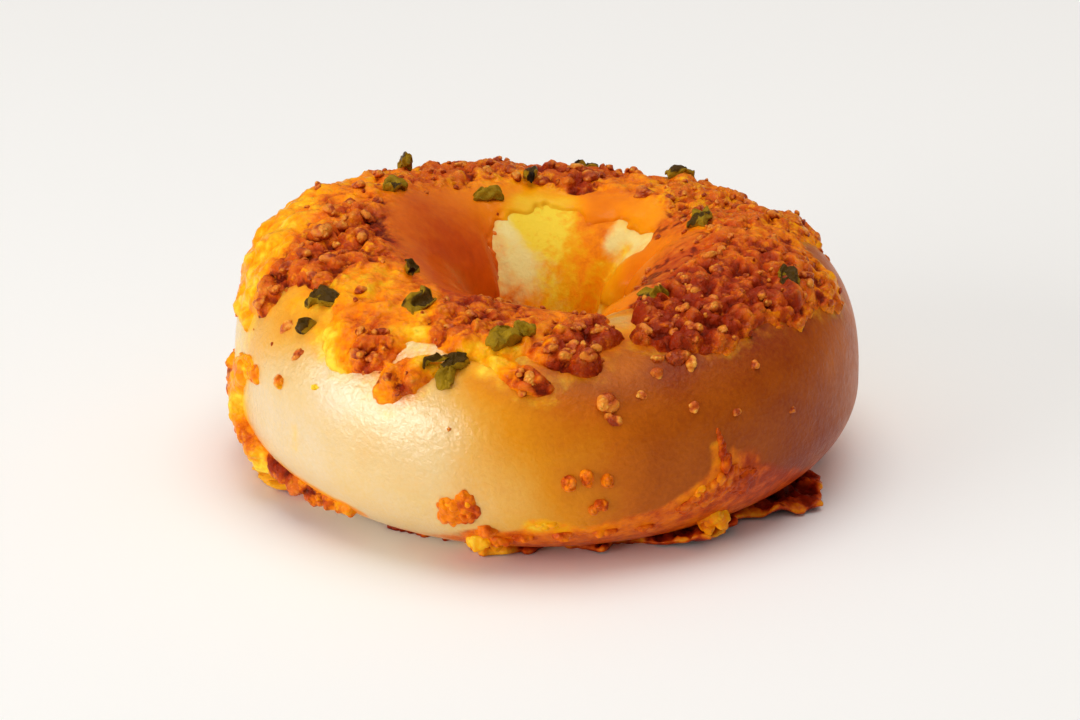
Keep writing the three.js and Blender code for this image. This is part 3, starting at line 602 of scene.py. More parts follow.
def bake_at(round_, over):
    """How browned the bare crust is, from 0, pale cream, to 1, deep brown; low at the darkest side
    it is partly painted shade.
    """
    points = dough_point(round_, over)
    turn = np.cos(np.radians(round_ - DARKEST_SIDE))
    side = np.maximum(ramp(turn, 0.05, 0.95), bells(round_, BROWNED_BACK))
    upper = ramp(over, -30, 50)
    top = ramp(over, 20, 80)
    bake = BAKE["least"] + BAKE["crown"] * top + BAKE["side"] * side
    # Low down at the darkest side the crust is darkened by browning and by painted shade.
    low = BAKE["low"] + BAKE["low_side_and_shade"] * side ** 2
    bake = bake * (upper + low * (1 - upper))
    for place_round, place_over, reach, level in BAKED_PLACES:
        share = puddle_share(round_, over, place_round, place_over, reach)
        bake = bake + 0.85 * share * (level - bake)
    bake = bake * (1 - 0.85 * ramp(over, 100, 128))
    return np.clip(bake + 0.06 * lumpiness(points, 13.0) + 0.03 * lumpiness(points, 5.0), 0, 1)


# --- making meshes ------------------------------------------------------------------------

def skin_faces(rows, columns):
    """Four-sided faces of a skin that runs right round in both directions."""
    i, j = np.meshgrid(np.arange(rows), np.arange(columns), indexing="ij")
    after, beside = (i + 1) % rows, (j + 1) % columns
    corners = (i * columns + j, after * columns + j, after * columns + beside, i * columns + beside)
    return np.stack([corner.ravel() for corner in corners], axis=-1)


def mesh_from(name, points, faces, looks):
    """A smooth mesh, in metres, with a number for each look at each point."""
    mesh = bpy.data.meshes.new(name)
    mesh.from_pydata((np.reshape(points, (-1, 3)) * MM).tolist(), [], np.asarray(faces).tolist())
    for look, values in looks.items():
        layer = mesh.attributes.new(look, "FLOAT", "POINT")
        layer.data.foreach_set("value", np.ascontiguousarray(np.ravel(values), np.float32))
    mesh.shade_smooth()
    return mesh


def add_piece(name, mesh, material):
    """Puts a finished mesh in the scene as a piece that rides on the bagel's body."""
    mesh.name = name
    mesh.materials.clear()
    mesh.materials.append(material)
    piece = bpy.data.objects.new(name, mesh)
    bpy.context.scene.collection.objects.link(piece)
    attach(piece, BODY)
    return piece


def joined(parts):
    """Several (points, faces, looks) as one."""
    points, faces, looks, first = [], [], {}, 0
    for part_points, part_faces, part_looks in parts:
        points.append(part_points)
        faces.append(part_faces + first)
        first += len(part_points)
        for look, values in part_looks.items():
            looks.setdefault(look, []).append(values)
    looks = {look: np.concatenate(values) for look, values in looks.items()}
    return np.concatenate(points), np.concatenate(faces), looks


def ball(subdivisions):
    """The points and faces of a ball of radius 1."""
    form = bmesh.new()
    bmesh.ops.create_icosphere(form, subdivisions=subdivisions, radius=1.0)
    points = np.array([corner.co[:] for corner in form.verts])
    faces = np.array([[corner.index for corner in face.verts] for face in form.faces])
    form.free()
    return points, faces


def stance(round_, over, turn, lift):
    """Axes of a small piece on the surface, as rows, turned on it and lifted at one end."""
    along, across, out = directions_at(float(round_), float(over))
    basis = np.stack([along, across, out], axis=-1)
    turned = Matrix.Rotation(math.radians(turn), 3, "Z")
    lifted = turned @ Matrix.Rotation(-math.radians(lift), 3, "Y")
    return (basis @ np.array(lifted)).T


def set_down(points, place, axes):
    return points @ axes + place


def round_steps(columns):
    """Places round the ring, closer together at the front than at the back."""
    turn = np.arange(columns) * 360 / columns
    return turn - CLOSEST_SHIFT * np.sin(np.radians(turn - CLOSEST_ROUND))


def over_steps(rows):
    """Places over the dough, closer together on the crown than under the base."""
    t = np.linspace(-1, 1, rows, endpoint=False)
    return 90 + 180 * (0.72 * t + 0.28 * t ** 3)


# --- nodes --------------------------------------------------------------------------------

def node(tree, kind, inputs=None, **settings):
    """Adds a node; an input that is a socket is linked, and anything else is set."""
    made = tree.nodes.new(kind)
    for setting, value in settings.items():
        setattr(made, setting, value)
    for key, value in (inputs or {}).items():
        if isinstance(value, bpy.types.NodeSocket):
            tree.links.new(value, made.inputs[key])
        else:
            made.inputs[key].default_value = value
    return made


def math_node(tree, operation, a, b=0.0):
    return node(tree, "ShaderNodeMath", {0: a, 1: b}, operation=operation).outputs[0]


def times(tree, a, b):
    return math_node(tree, "MULTIPLY", a, b)


def plus(tree, value, other, share):
    """A value with a share of another added to it."""
    return math_node(tree, "ADD", value, times(tree, other, share))


def look_node(tree, look):
    return node(tree, "ShaderNodeAttribute", attribute_name=look).outputs["Fac"]


def noise_node(tree, scale, detail=3.0, roughness=0.55, distortion=0.0):
    place = node(tree, "ShaderNodeTexCoord").outputs["Object"]
    wanted = {"Vector": place, "Scale": scale, "Detail": detail, "Roughness": roughness}
    return node(tree, "ShaderNodeTexNoise", {**wanted, "Distortion": distortion}).outputs["Fac"]


def swing_node(tree, *wanted):
    """Noise about 0, from -0.5 to 0.5."""
    return math_node(tree, "SUBTRACT", noise_node(tree, *wanted), 0.5)


def cells_node(tree, scale):
    place = node(tree, "ShaderNodeTexCoord").outputs["Object"]
    wanted = {"Vector": place, "Scale": scale}
    return node(tree, "ShaderNodeTexVoronoi", wanted, feature="F1").outputs["Distance"]


def curds_node(tree, scale):
    """Small round lumps of uneven outline, 1 on their tops and 0 in the clefts."""
    place = node(tree, "ShaderNodeTexCoord").outputs["Object"]
    drift = node(tree, "ShaderNodeTexNoise", {"Vector": place, "Scale": 0.8 * scale})
    shift = {0: drift.outputs["Color"], 1: (0.9 / scale,) * 3, 2: place}
    moved = node(tree, "ShaderNodeVectorMath", shift, operation="MULTIPLY_ADD")
    wanted = {"Vector": moved.outputs[0], "Scale": scale, "Smoothness": 0.4}
    cells = node(tree, "ShaderNodeTexVoronoi", wanted, feature="SMOOTH_F1").outputs["Distance"]
    return spread(tree, cells, 0.12, 0.62, 1.0, 0.0)


def spread(tree, value, low, high, to_low=0.0, to_high=1.0):
    """Maps a value from low..high to to_low..to_high with a smooth rise."""
    wanted = {"Value": value, "From Min": low, "From Max": high}
    wanted.update({"To Min": to_low, "To Max": to_high})
    return node(tree, "ShaderNodeMapRange", wanted, interpolation_type="SMOOTHSTEP").outputs[0]


def blend_colour(tree, factor, a, b):
    """The colour a at factor 0 and b at factor 1, each a socket or three numbers."""
    wanted = {0: factor}
    for key, colour in ((6, a), (7, b)):
        wanted[key] = colour if isinstance(colour, bpy.types.NodeSocket) else (*colour, 1.0)
    return node(tree, "ShaderNodeMix", wanted, data_type="RGBA").outputs[2]


def colour_steps(tree, value, steps):
    """A colour for each value, from (position, colour) pairs."""
    made = node(tree, "ShaderNodeValToRGB", {"Fac": value})
    elements = made.color_ramp.elements
    while len(elements) < len(steps):
        elements.new(0.5)
    for element, (position, colour) in zip(elements, steps):
        element.position = position
        element.color = (*colour, 1.0)
    return made.outputs["Color"]


def bumps(tree, *layers):
    """Stacks bumps: each layer is a height, a strength and a depth in millimetres."""
    normal = None
    for height, strength, depth in layers:
        wanted = {"Height": height, "Strength": strength, "Distance": depth * MM}
        if normal is not None:
            wanted["Normal"] = normal
        normal = node(tree, "ShaderNodeBump", wanted).outputs["Normal"]
    return normal


def new_material(name, finish, shader):
    """A material; finish(tree) gives its colour, roughness, normal and coat, in that order."""
    material = bpy.data.materials.new(name)
    material.use_nodes = True
    tree = material.node_tree
    tree.nodes.clear()
    colour, roughness, normal, coat = finish(tree)
    linked = {
        "Base Color": colour, "Roughness": roughness, "Normal": normal, "Coat Normal": normal,
        "Coat Weight": coat,
    }
    surface = node(tree, "ShaderNodeBsdfPrincipled", {**linked, **shader})
    surface.subsurface_method = "BURLEY"
    node(tree, "ShaderNodeOutputMaterial", {"Surface": surface.outputs["BSDF"]})
    return material


# --- finishes -----------------------------------------------------------------------------

WARM = (1.0, 0.72, 0.34, 1.0)  # tint of the soft sheen on what is oily


def shader_values(scatter, radius, depth, specular, coat_roughness, coat_ior=1.5):
    """What a surface has the same all over; depth is how far light goes in, in millimetres."""
    return {
        "Subsurface Weight": scatter, "Subsurface Radius": radius, "Subsurface Scale": depth * MM,
        "Specular IOR Level": specular, "Specular Tint": WARM,
        "Coat Roughness": coat_roughness, "Coat IOR": coat_ior,
    }


CRUST_SHADER = shader_values(0.12, (1.0, 0.45, 0.2), 2.0, 0.16, 0.24, 2.1)
CHEESE_SHADER = shader_values(0.10, (1.0, 0.35, 0.08), 1.0, 0.11, 0.10)
CRUMB_SHADER = shader_values(0.08, (1.0, 0.4, 0.15), 0.8, 0.20, 0.12)
PEPPER_SHADER = shader_values(0.06, (0.8, 0.9, 0.2), 0.8, 0.08, 0.14)


def cheese_tones(tree, tone):
    """The colour of cheese from lemon yellow, at tone 0, to deep red-orange, at tone 1."""
    colours = bpy.context.scene.bagel_cheese
    steps = (
        (0.0, tuple(colours.yellow)), (0.25, srgb(252, 174, 12)), (0.5, srgb(252, 140, 4)),
        (0.7, tuple(colours.orange)), (0.85, srgb(204, 76, 4)), (1.0, srgb(168, 48, 3)),
    )
    return colour_steps(tree, tone, steps)


def crust_finish(tree):
    """Baked crust: cream where it stayed pale, through gold to brown, stained by the cheese, and
    brightened with painted light inside the hole.
    """
    colours = dough_sizes()
    bake = plus(tree, look_node(tree, "bake"), swing_node(tree, 140, 4), 0.14)
    bake = plus(tree, bake, swing_node(tree, 1500, 2), 0.12)
    steps = (
        (0.0, tuple(colours.pale)), (0.16, srgb(231, 192, 116)), (0.34, srgb(234, 172, 66)),
        (0.54, srgb(228, 142, 20)), (0.76, tuple(colours.golden)), (1.0, tuple(colours.brown)),
    )
    colour = colour_steps(tree, bake, steps)
    # Painted light: inside the hole the crust is blended towards bright cream.
    inner = times(tree, look_node(tree, "inner"), 0.8)
    colour = blend_colour(tree, inner, colour, srgb(255, 236, 152))
    look_stain = look_node(tree, "stain")
    stain = plus(tree, look_stain, swing_node(tree, 320, 5, 0.66, 0.3), 1.1)
    stain = times(tree, spread(tree, stain, 0.15, 0.85), spread(tree, look_stain, 0.0, 0.3))
    tone = plus(tree, look_node(tree, "stain_tone"), swing_node(tree, 540, 4, 0.62), 0.9)
    colour = blend_colour(tree, stain, colour, cheese_tones(tree, tone))
    roughness = spread(tree, noise_node(tree, 500, 3), 0.3, 0.7, 0.30, 0.42)
    normal = bumps(
        tree, (noise_node(tree, 120, 3), 0.25, 1.0),
        (noise_node(tree, 860, 5, 0.62, 0.3), 0.6, 0.3), (noise_node(tree, 1300, 2), 0.5, 0.16),
    )
    glossy = spread(tree, look_node(tree, "bake"), 0.12, 0.5, 1.0, 0.04)
    return colour, roughness, normal, times(tree, glossy, look_node(tree, "sheen"))


def cheese_finish(tree):
    """Melted cheese, yellow to deep orange; toasted, it has red-brown clefts of painted shade, tan
    tops of painted light, and deep tones darkened partly by painted shade.
    """
    colours = bpy.context.scene.bagel_cheese
    look_tone, look_toasty = look_node(tree, "tone"), look_node(tree, "toasty")
    grain = look_node(tree, "grain")
    drift = times(tree, swing_node(tree, 520, 4, 0.6), grain)
    mottle = times(tree, swing_node(tree, 1150, 3, 0.6), grain)
    curds = curds_node(tree, 780)
    tone = plus(tree, plus(tree, look_tone, drift, 0.7), mottle, 0.5)
    colour = cheese_tones(tree, tone)
    fleck = spread(tree, math_node(tree, "ADD", drift, mottle), -0.25, 0.25, 0.4, 1.6)
    toasted = spread(tree, times(tree, look_toasty, fleck), 0.15, 0.8)
    # Toast is coloured by the lumps' height: darkest in the clefts as painted shade, palest on the
    # tops as painted light.
    peak = plus(tree, times(tree, look_node(tree, "peak"), 0.78), curds, 0.22)
    peak = plus(tree, peak, mottle, 0.5)
    toast_steps = (
        (0.0, srgb(104, 14, 3)), (0.2, srgb(158, 38, 4)), (0.4, tuple(colours.toast)),
        (0.6, srgb(220, 98, 16)), (0.8, srgb(232, 128, 36)), (1.0, srgb(244, 162, 68)),
    )
    toast = colour_steps(tree, peak, toast_steps)
    # Painted shade: toasted cheese of deep tone darkens towards dark red, partly its own toast
    # colour and partly painted shade.
    deep = times(tree, spread(tree, look_tone, 0.6, 0.95, 0.0, 0.92), toasted)
    # Painted shade: the clefts between the lumps darken further.
    clefts = times(tree, spread(tree, peak, 0.1, 0.4, 0.8, 0.0), toasted)
    colour = blend_colour(tree, times(tree, toasted, 0.85), colour, toast)
    colour = blend_colour(tree, deep, colour, srgb(150, 34, 3))
    colour = blend_colour(tree, clefts, colour, srgb(100, 16, 3))
    roughness = spread(tree, toasted, 0.0, 1.0, 0.30, 0.38)
    lumpy = times(tree, spread(tree, look_toasty, 0.0, 0.7, 0.45, 1.0), grain)
    fine = times(tree, noise_node(tree, 1400, 4, 0.6), lumpy)
    normal = bumps(tree, (times(tree, curds, lumpy), 0.6, 0.45), (fine, 0.7, 0.4))
    coat = spread(tree, toasted, 0.0, 1.0, 0.12, 0.16)
    coat = times(tree, coat, spread(tree, peak, 0.2, 0.6, 0.2, 1.0))
    return colour, roughness, normal, coat


def crumb_finish(tree):
    """Toasted crumb: red-brown in its clefts and where it joins, as painted shade, and tan on top,
    as painted light.
    """
    colours = bpy.context.scene.bagel_crumbs
    curds = curds_node(tree, 1300)
    peak = plus(tree, look_node(tree, "peak"), swing_node(tree, 1100, 4, 0.6), 0.5)
    peak = plus(tree, peak, curds, 0.25)
    tone = math_node(tree, "SUBTRACT", look_node(tree, "tone"), 0.6)
    peak = plus(tree, peak, tone, 0.4)
    # Colours by peak: red-brown in the clefts and low down as painted shade, tan on top as painted
    # light.
    steps = (
        (0.0, srgb(150, 46, 8)), (0.25, srgb(188, 74, 14)), (0.5, tuple(colours.toasted)),
        (0.8, tuple(colours.tan)), (1.0, srgb(248, 172, 66)),
    )
    colour = colour_steps(tree, peak, steps)
    roughness = spread(tree, noise_node(tree, 600), 0.3, 0.7, 0.32, 0.45)
    normal = bumps(tree, (curds, 0.6, 0.4), (noise_node(tree, 1600, 4, 0.6), 0.5, 0.3))
    return colour, roughness, normal, 0.20


def pepper_finish(tree):
    """Pepper: dark wrinkled skin on one face, olive flesh on the other, charred at the ends."""
    colours = bpy.context.scene.bagel_pepper
    drift = swing_node(tree, 500, 4, 0.6)
    skin = plus(tree, look_node(tree, "skin"), drift, 0.5)
    flesh_steps = (
        (0.0, srgb(96, 56, 8)), (0.45, tuple(colours.flesh)), (0.75, srgb(176, 138, 24)),
        (1.0, srgb(212, 168, 44)),
    )
    flesh = colour_steps(tree, noise_node(tree, 420, 4, 0.6), flesh_steps)
    peel = blend_colour(tree, noise_node(tree, 300, 3), tuple(colours.skin), srgb(84, 60, 10))
    colour = blend_colour(tree, spread(tree, skin, 0.35, 0.65), flesh, peel)
    char = plus(tree, look_node(tree, "char"), drift, 0.6)
    colour = blend_colour(tree, spread(tree, char, 0.4, 0.8), colour, srgb(30, 16, 8))
    roughness = spread(tree, skin, 0.3, 0.7, 0.45, 0.28)
    wrinkles = noise_node(tree, 900, 4, 0.6, 0.8)
    normal = bumps(tree, (wrinkles, 0.7, 0.6), (cells_node(tree, 1500), 0.3, 0.3))
    coat = spread(tree, skin, 0.3, 0.7, 0.06, 0.10)
    return colour, roughness, normal, coat


def frill_finish(tree):
    """Crisped cheese: orange where it is thick, dark red-brown and thin towards the edge."""
    crisp = plus(tree, look_node(tree, "crisp"), swing_node(tree, 380, 5, 0.62), 0.9)
    steps = (
        (0.0, srgb(252, 178, 34)), (0.2, srgb(244, 136, 18)), (0.4, srgb(208, 78, 12)),
        (0.65, srgb(142, 34, 8)), (1.0, srgb(76, 12, 4)),
    )
    colour = colour_steps(tree, crisp, steps)
    roughness = spread(tree, noise_node(tree, 500), 0.3, 0.7, 0.28, 0.45)
    blisters = noise_node(tree, 500, 4, 0.6, 0.4)
    normal = bumps(tree, (blisters, 0.5, 0.6), (cells_node(tree, 1100), 0.3, 0.3))
    return colour, roughness, normal, 0.12


# --- settings -----------------------------------------------------------------------------

def colour_property(name, description, default):
    return FloatVectorProperty(
        name=name, description=description, default=default, size=3, min=0, max=1, subtype="COLOR",
    )


def size_property(name, description, default):
    """A length in millimetres."""
    description += ", in millimetres"
    return FloatProperty(name=name, description=description, default=default, min=0)


def number_property(name, description, default):
    return FloatProperty(name=name, description=description, default=default)


def count_property(name, description, default, least=24):
    return IntProperty(name=name, description=description, default=default, min=least)


class BagelDoughSettings(bpy.types.PropertyGroup):
    ring_radius: size_property("Ring radius", "Middle of the hole to the middle of the dough", 30.6)
    outer_half_width: size_property("Outer half width", "Dough's middle to its outer side", 21.0)
    neck_radius: size_property("Neck radius", "The hole where it is narrowest", 9.6)
    belly_height: size_property("Belly height", "Height of the widest place", 14.6)
    under_half_height: size_property("Under half height", "Depth below the belly, cut flat", 15.7)
    crown_height: size_property("Crown height", "Mean height of the bare dough", 36.9)
    shoulder: number_property("Shoulder", "2 is an ellipse, more is squarer", 2.7)
    tuck: number_property("Tuck", "The same below the belly", 1.9)
    steps_round: count_property("Steps round", "Points round the ring", 330)
    steps_over: count_property("Steps over", "Points over the dough", 190)
    pale: colour_property("Pale", "Crust that stayed pale", srgb(230, 205, 162))
    golden: colour_property("Golden", "Crust that turned golden", srgb(202, 102, 9))
    brown: colour_property("Brown", "Crust that browned most", srgb(138, 42, 4))


class BagelCheeseSettings(bpy.types.PropertyGroup):
    cobble_size: size_property("Lump size", "Spacing of the toasted lumps", 3.0)
    toast_height: size_property("Lump height", "Height of the toasted lumps", 1.5)
    roughness: size_property("Roughness", "Height of the finest lumps", 0.13)
    grain_height: size_property("Grain height", "Height of the lumps on a drop", 0.4)
    sink: size_property("Sink", "How far the skin lies in the dough where there is no cheese", 0.5)
    steps_round: count_property("Steps round", "Points round the ring", 560)
    yellow: colour_property("Yellow", "Cheese that only melted", srgb(253, 217, 58))
    orange: colour_property("Orange", "Cheese that turned orange", srgb(232, 112, 10))
    toast: colour_property("Toast", "Toasted cheese", srgb(202, 70, 8))


class BagelCrumbSettings(bpy.types.PropertyGroup):
    smallest: size_property("Smallest", "Width of the finest grains", 0.6)
    largest: size_property("Largest", "Width of the largest grains", 1.6)
    spacing: size_property("Spacing", "Least distance between grains", 1.2)
    per_square_cm: number_property("Per square centimetre", "Grains on toast", 6.5)
    seed: count_property("Seed", "Seed of the grains' places and sizes", 41, least=0)
    toasted: colour_property("Toasted", "Side of a crumb", srgb(214, 104, 30))
    tan: colour_property("Tan", "Top of a crumb", srgb(234, 138, 38))


class BagelPepperSettings(bpy.types.PropertyGroup):
    thickness: size_property("Thickness", "Thickness of the pepper's wall", 1.8)
    wrinkle: size_property("Wrinkle", "Depth of the wrinkles", 0.5)
    skin: colour_property("Skin", "Dark green skin", srgb(64, 41, 7))
    flesh: colour_property("Flesh", "Olive flesh", srgb(150, 116, 18))


class BagelFrillSettings(bpy.types.PropertyGroup):
    foot_radius: size_property("Foot radius", "Where the dough meets the ground", 38.4)
    root_radius: size_property("Root radius", "Where the frill starts inside the dough", 34.5)
    thickness: size_property("Thickness", "Thickness at the edge", 0.45)
    curl: size_property("Curl", "How far the longest parts curl up", 1.6)
    steps_round: count_property("Steps round", "Points round the foot", 900)
    steps_out: count_property("Steps out", "Points from root to edge", 26, least=4)


class BagelStageSettings(bpy.types.PropertyGroup):
    lens: FloatProperty(name="Lens", description="Focal length", default=99.0, unit="CAMERA")
    key_power: number_property("Key", "Power of the soft key light", 5.3)
    sky: number_property("Sky", "Strength of the white surroundings", 0.47)


def dough_sizes():
    return bpy.context.scene.bagel_dough


# --- pieces -------------------------------------------------------------------------------

class BAGEL_OT_dough(bpy.types.Operator):
    """Makes the ring of baked dough, in place of the plain solid"""
    bl_idname = "bagel.dough"
    bl_label = "Dough"

    def execute(self, context):
        sizes = context.scene.bagel_dough
        round_ = np.arange(sizes.steps_round)[:, None] * 360 / sizes.steps_round
        over = over_steps(sizes.steps_over)[None, :]
        points = dough_point(round_, over) + RING_MIDDLE
        points[..., 2] = np.maximum(points[..., 2], 0)
        oil = cheese_cover(round_, over, PUDDLES + RUNS, spill=OIL_SPILL)[0]
        stain, stain_tone = stain_at(round_, over)
        halo = 0.45 * oil * (1 - stain)
        stain_tone = stain * stain_tone + halo * (0.9 * cheese_tint(round_, over)[0] - 0.25)
        stain_tone = stain_tone / (stain + halo + 1e-9)
        shown = (1 - ramp(over, 98, 116)) * ramp(over, -32, 6)
        looks = {
            "bake": bake_at(round_, over), "stain": stain + halo, "stain_tone": stain_tone,
            # inner: how far into the hole, where the crust gets painted light
            "inner": np.broadcast_to(ramp(over, 100, 122), oil.shape),
            "sheen": shown * (1 - 0.8 * stain),
            "dusting": oil * ramp(-over, -95, -80) * ramp(over, 0, 20),
        }
        mesh = mesh_from("dough", points, skin_faces(sizes.steps_round, sizes.steps_over), looks)
        material = new_material("Baked crust", crust_finish, CRUST_SHADER)
        dough = add_piece("dough", mesh, material)
        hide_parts(NODE)
        return {"FINISHED"}


class BAGEL_OT_cheese(bpy.types.Operator):
    """Makes the melted and toasted cheese as skins that come out of the dough"""
    bl_idname = "bagel.cheese"
    bl_label = "Melted cheese"

    def execute(self, context):
        sizes = context.scene.bagel_cheese
        material = new_material("Melted cheese", cheese_finish, CHEESE_SHADER)
        skins = (  # name, puddles, the stretches over the dough and the rows that each gets
            ("cheese", PUDDLES, ((20, 30, 5), (30, 165, 152), (165, 196, 10)), (196, 380, 8)),
            ("cheese_runs", RUNS, ((-62, 20, 124), (20, 24, 2)), (24, 298, 10)),
        )
        for name, puddles, stretches, closing in skins:
            rows = [np.linspace(low, high, count, endpoint=False) for low, high, count in stretches]
            shown = np.concatenate(rows)
            low, high, count = closing
            over = np.concatenate([shown, np.linspace(low, high, count, endpoint=False)])[None, :]
            round_ = round_steps(sizes.steps_round)[:, None]
            points, height, looks = cheese_relief(round_, over, puddles)
            inside = np.maximum(ramp(over, low - 6, low), ramp(-over, -shown[0] - 5, -shown[0]))
            height = height * (1 - inside) - BURIED * inside
            points = points + height[..., None] * directions_at(round_, over)[2] + RING_MIDDLE
            points[..., 2] = np.maximum(points[..., 2], 0.2)
            mesh = mesh_from(name, points, skin_faces(len(round_), over.size), looks)
            add_piece(name, mesh, material)
        return {"FINISHED"}


class BAGEL_OT_drops(bpy.types.Operator):
    """Makes the drops and flakes of cheese that lie apart, each a small lumpy cushion"""
    bl_idname = "bagel.drops"
    bl_label = "Drops of cheese"

    def execute(self, context):
        sizes = context.scene.bagel_cheese
        unit, faces = ball(4)
        parts = []
        for number, (round_, over, length, width, thick, turn, tone, toast) in enumerate(DROPS):
            shift = 7.3 * number
            points = unit * (length / 2, width / 2, thick)
            small = cobbles(warped(points + shift, 1.5, 0.4), 0.36 * sizes.cobble_size)
            out = directions_at(float(round_), float(over))[2]
            bulge = 1 + layered(points + shift, DROP_LUMPS) + 0.15 * (small - 0.5)
            x, y, z = (points * bulge[:, None]).T
            grains = sizes.grain_height * (small - 0.4) * ramp(z, 0, 0.5 * thick)
            z = z * (0.6 + 0.4 * ramp(z, -0.4, 0.2)) + grains
            points = np.stack([x, y, z], axis=-1)
            # Painted light and shade: the peak look is higher on the drop's lumps and towards its
            # top, so it is paler there and darker low down.
            peak = 0.25 + 0.55 * small + 0.2 * ramp(z, 0, thick)
            looks = {
                "tone": tone + 0.16 * lumpiness(points + shift, 1.3), "peak": peak,
                "toasty": ramp(toast + 0.25 * lumpiness(points + shift, 1.6), 0.1, 0.8),
                "grain": np.ones(len(points)),
            }
            foot = dough_point(float(round_), float(over)) - 0.25 * thick * out
            points = set_down(points, foot, stance(round_, over, turn, 0)) + RING_MIDDLE
            points[:, 2] = np.maximum(points[:, 2], 0.1)
            parts.append((points, faces, looks))
        mesh = mesh_from("cheese_drops", *joined(parts))
        add_piece("cheese_drops", mesh, bpy.data.materials["Melted cheese"])
        return {"FINISHED"}


def crumb_form(chance, subdivisions):
    """A crumb 1 mm across: a few nodules grown together, darkest in its clefts and low down as
    painted shade, palest on top as painted light.
    """
    points, faces = ball(subdivisions)
    lobes = chance.normal(size=(int(chance.integers(7, 12)), 3))
    lobes /= np.linalg.norm(lobes, axis=1, keepdims=True)
    reach = np.full(len(points), 0.34)
    for lobe in lobes:
        middle = lobe * chance.uniform(0.2, 0.34)
        size = chance.uniform(0.14, 0.27)
        ahead = points @ middle
        within = size ** 2 - middle @ middle + ahead ** 2
        edge = ahead + np.sqrt(np.maximum(within, 0))
        reach = np.maximum(reach, np.where(within > 0, edge, 0))
    reach *= 1 + 0.07 * lumpiness(points + 10 * chance.random(3), 0.3)
    # Painted shade and light: peak is low in the clefts and towards the bottom, where the crumb
    # joins what it lies on, and high on top.
    peak = np.clip((reach - 0.30) / 0.16, 0, 1) * (0.35 + 0.55 * ramp(points[:, 2], -0.5, 0.6))
    points = points * reach[:, None]
    return points / np.ptp(points, axis=0).max(), faces, peak


class BAGEL_OT_crumbs(bpy.types.Operator):
    """Makes the larger toasted crumbs, placed ones first and then strewn ones"""
    bl_idname = "bagel.crumbs"
    bl_label = "Large crumbs"

    def execute(self, context):
        chance = np.random.default_rng(7)
        crumbs = list(PLACED_CRUMBS)
        for count, rounds, overs, lengths in STREWN_BANDS:
            for _ in range(count):
                round_, over, length = (chance.uniform(*span) for span in (rounds, overs, lengths))
                width = length * chance.uniform(0.6, 0.95)
                crumbs.append((round_, over, length, width, chance.uniform(0, 360)))
        parts = []
        for round_, over, length, width, turn in crumbs:
            points, faces, peak = crumb_form(chance, 3)
            thick = 0.5 * (length + width) * chance.uniform(0.7, 0.9)
            points = points * (length, width, thick)
            axes = stance(round_, over, turn, 0)
            foot = topped_point(float(round_), float(over)) - 0.08 * thick * axes[2]
            bare = 1 - cheese_cover(round_, over, PUDDLES)[0]
            tone = np.full(len(points), chance.random() * (0.28 + 0.72 * bare))
            points = set_down(points, foot, axes) + RING_MIDDLE
            parts.append((points, faces, {"peak": peak, "tone": tone}))
        material = new_material("Toasted crumb", crumb_finish, CRUMB_SHADER)
        add_piece("crumbs", mesh_from("crumbs", *joined(parts)), material)
        return {"FINISHED"}


def strewing_tree():
    """Geometry nodes that strew grains over a surface, thickest where a look is strongest."""
    tree = bpy.data.node_groups.new("Strew grains", "GeometryNodeTree")
    wanted = (
        ("Geometry", "Geometry"), ("Grains", "Collection"), ("Look", "String"),
        ("Density", "Float"), ("Spacing", "Float"), ("Smallest", "Float"), ("Largest", "Float"),
        ("Palest", "Float"), ("Seed", "Int"), ("Finish", "Material"),
    )
    for name, kind in wanted:
        tree.interface.new_socket(name, in_out="INPUT", socket_type="NodeSocket" + kind)
    tree.interface.new_socket("Geometry", in_out="OUTPUT", socket_type="NodeSocketGeometry")
    given = node(tree, "NodeGroupInput").outputs
    look = node(tree, "GeometryNodeInputNamedAttribute", {"Name": given["Look"]}, data_type="FLOAT")
    spots = node(
        tree, "GeometryNodeDistributePointsOnFaces",
        {"Mesh": given["Geometry"], "Distance Min": given["Spacing"], "Seed": given["Seed"],
         "Density Max": given["Density"], "Density Factor": look.outputs["Attribute"]},
        distribute_method="POISSON",
    )
    grains = node(
        tree, "GeometryNodeCollectionInfo",
        {"Collection": given["Grains"], "Separate Children": True, "Reset Children": True},
    )
    size = node(
        tree, "FunctionNodeRandomValue",
        {"Min": given["Smallest"], "Max": given["Largest"], "Seed": given["Seed"]},
        data_type="FLOAT",
    )
    sizes = [socket for socket in size.outputs if socket.enabled]
    spin = node(tree, "FunctionNodeRandomValue", data_type="FLOAT_VECTOR")
    spin.inputs[0].default_value = (-0.5, -0.5, 0.0)
    spin.inputs[1].default_value = (0.5, 0.5, 2 * math.pi)
    turn = node(tree, "FunctionNodeEulerToRotation", {0: spin.outputs[0]}).outputs[0]
    facing = node(
        tree, "FunctionNodeRotateRotation",
        {"Rotation": spots.outputs["Rotation"], "Rotate By": turn}, rotation_space="LOCAL",
    ).outputs[0]
    laid = node(
        tree, "GeometryNodeInstanceOnPoints",
        {"Points": spots.outputs["Points"], "Instance": grains.outputs[0], "Pick Instance": True,
         "Rotation": facing, "Scale": sizes[0]},
    )
    hue = node(tree, "FunctionNodeRandomValue", {"Max": given["Palest"]}, data_type="FLOAT")
    hues = [socket for socket in hue.outputs if socket.enabled]
    toned = node(
        tree, "GeometryNodeStoreNamedAttribute",
        {"Geometry": laid.outputs[0], "Name": "tone", "Value": hues[0]},
        data_type="FLOAT", domain="INSTANCE",
    )
    real = node(tree, "GeometryNodeRealizeInstances", {"Geometry": toned.outputs[0]})
    painted = node(
        tree, "GeometryNodeSetMaterial", {"Geometry": real.outputs[0], "Material": given["Finish"]},
    )
    node(tree, "NodeGroupOutput", {"Geometry": painted.outputs[0]})
    return tree


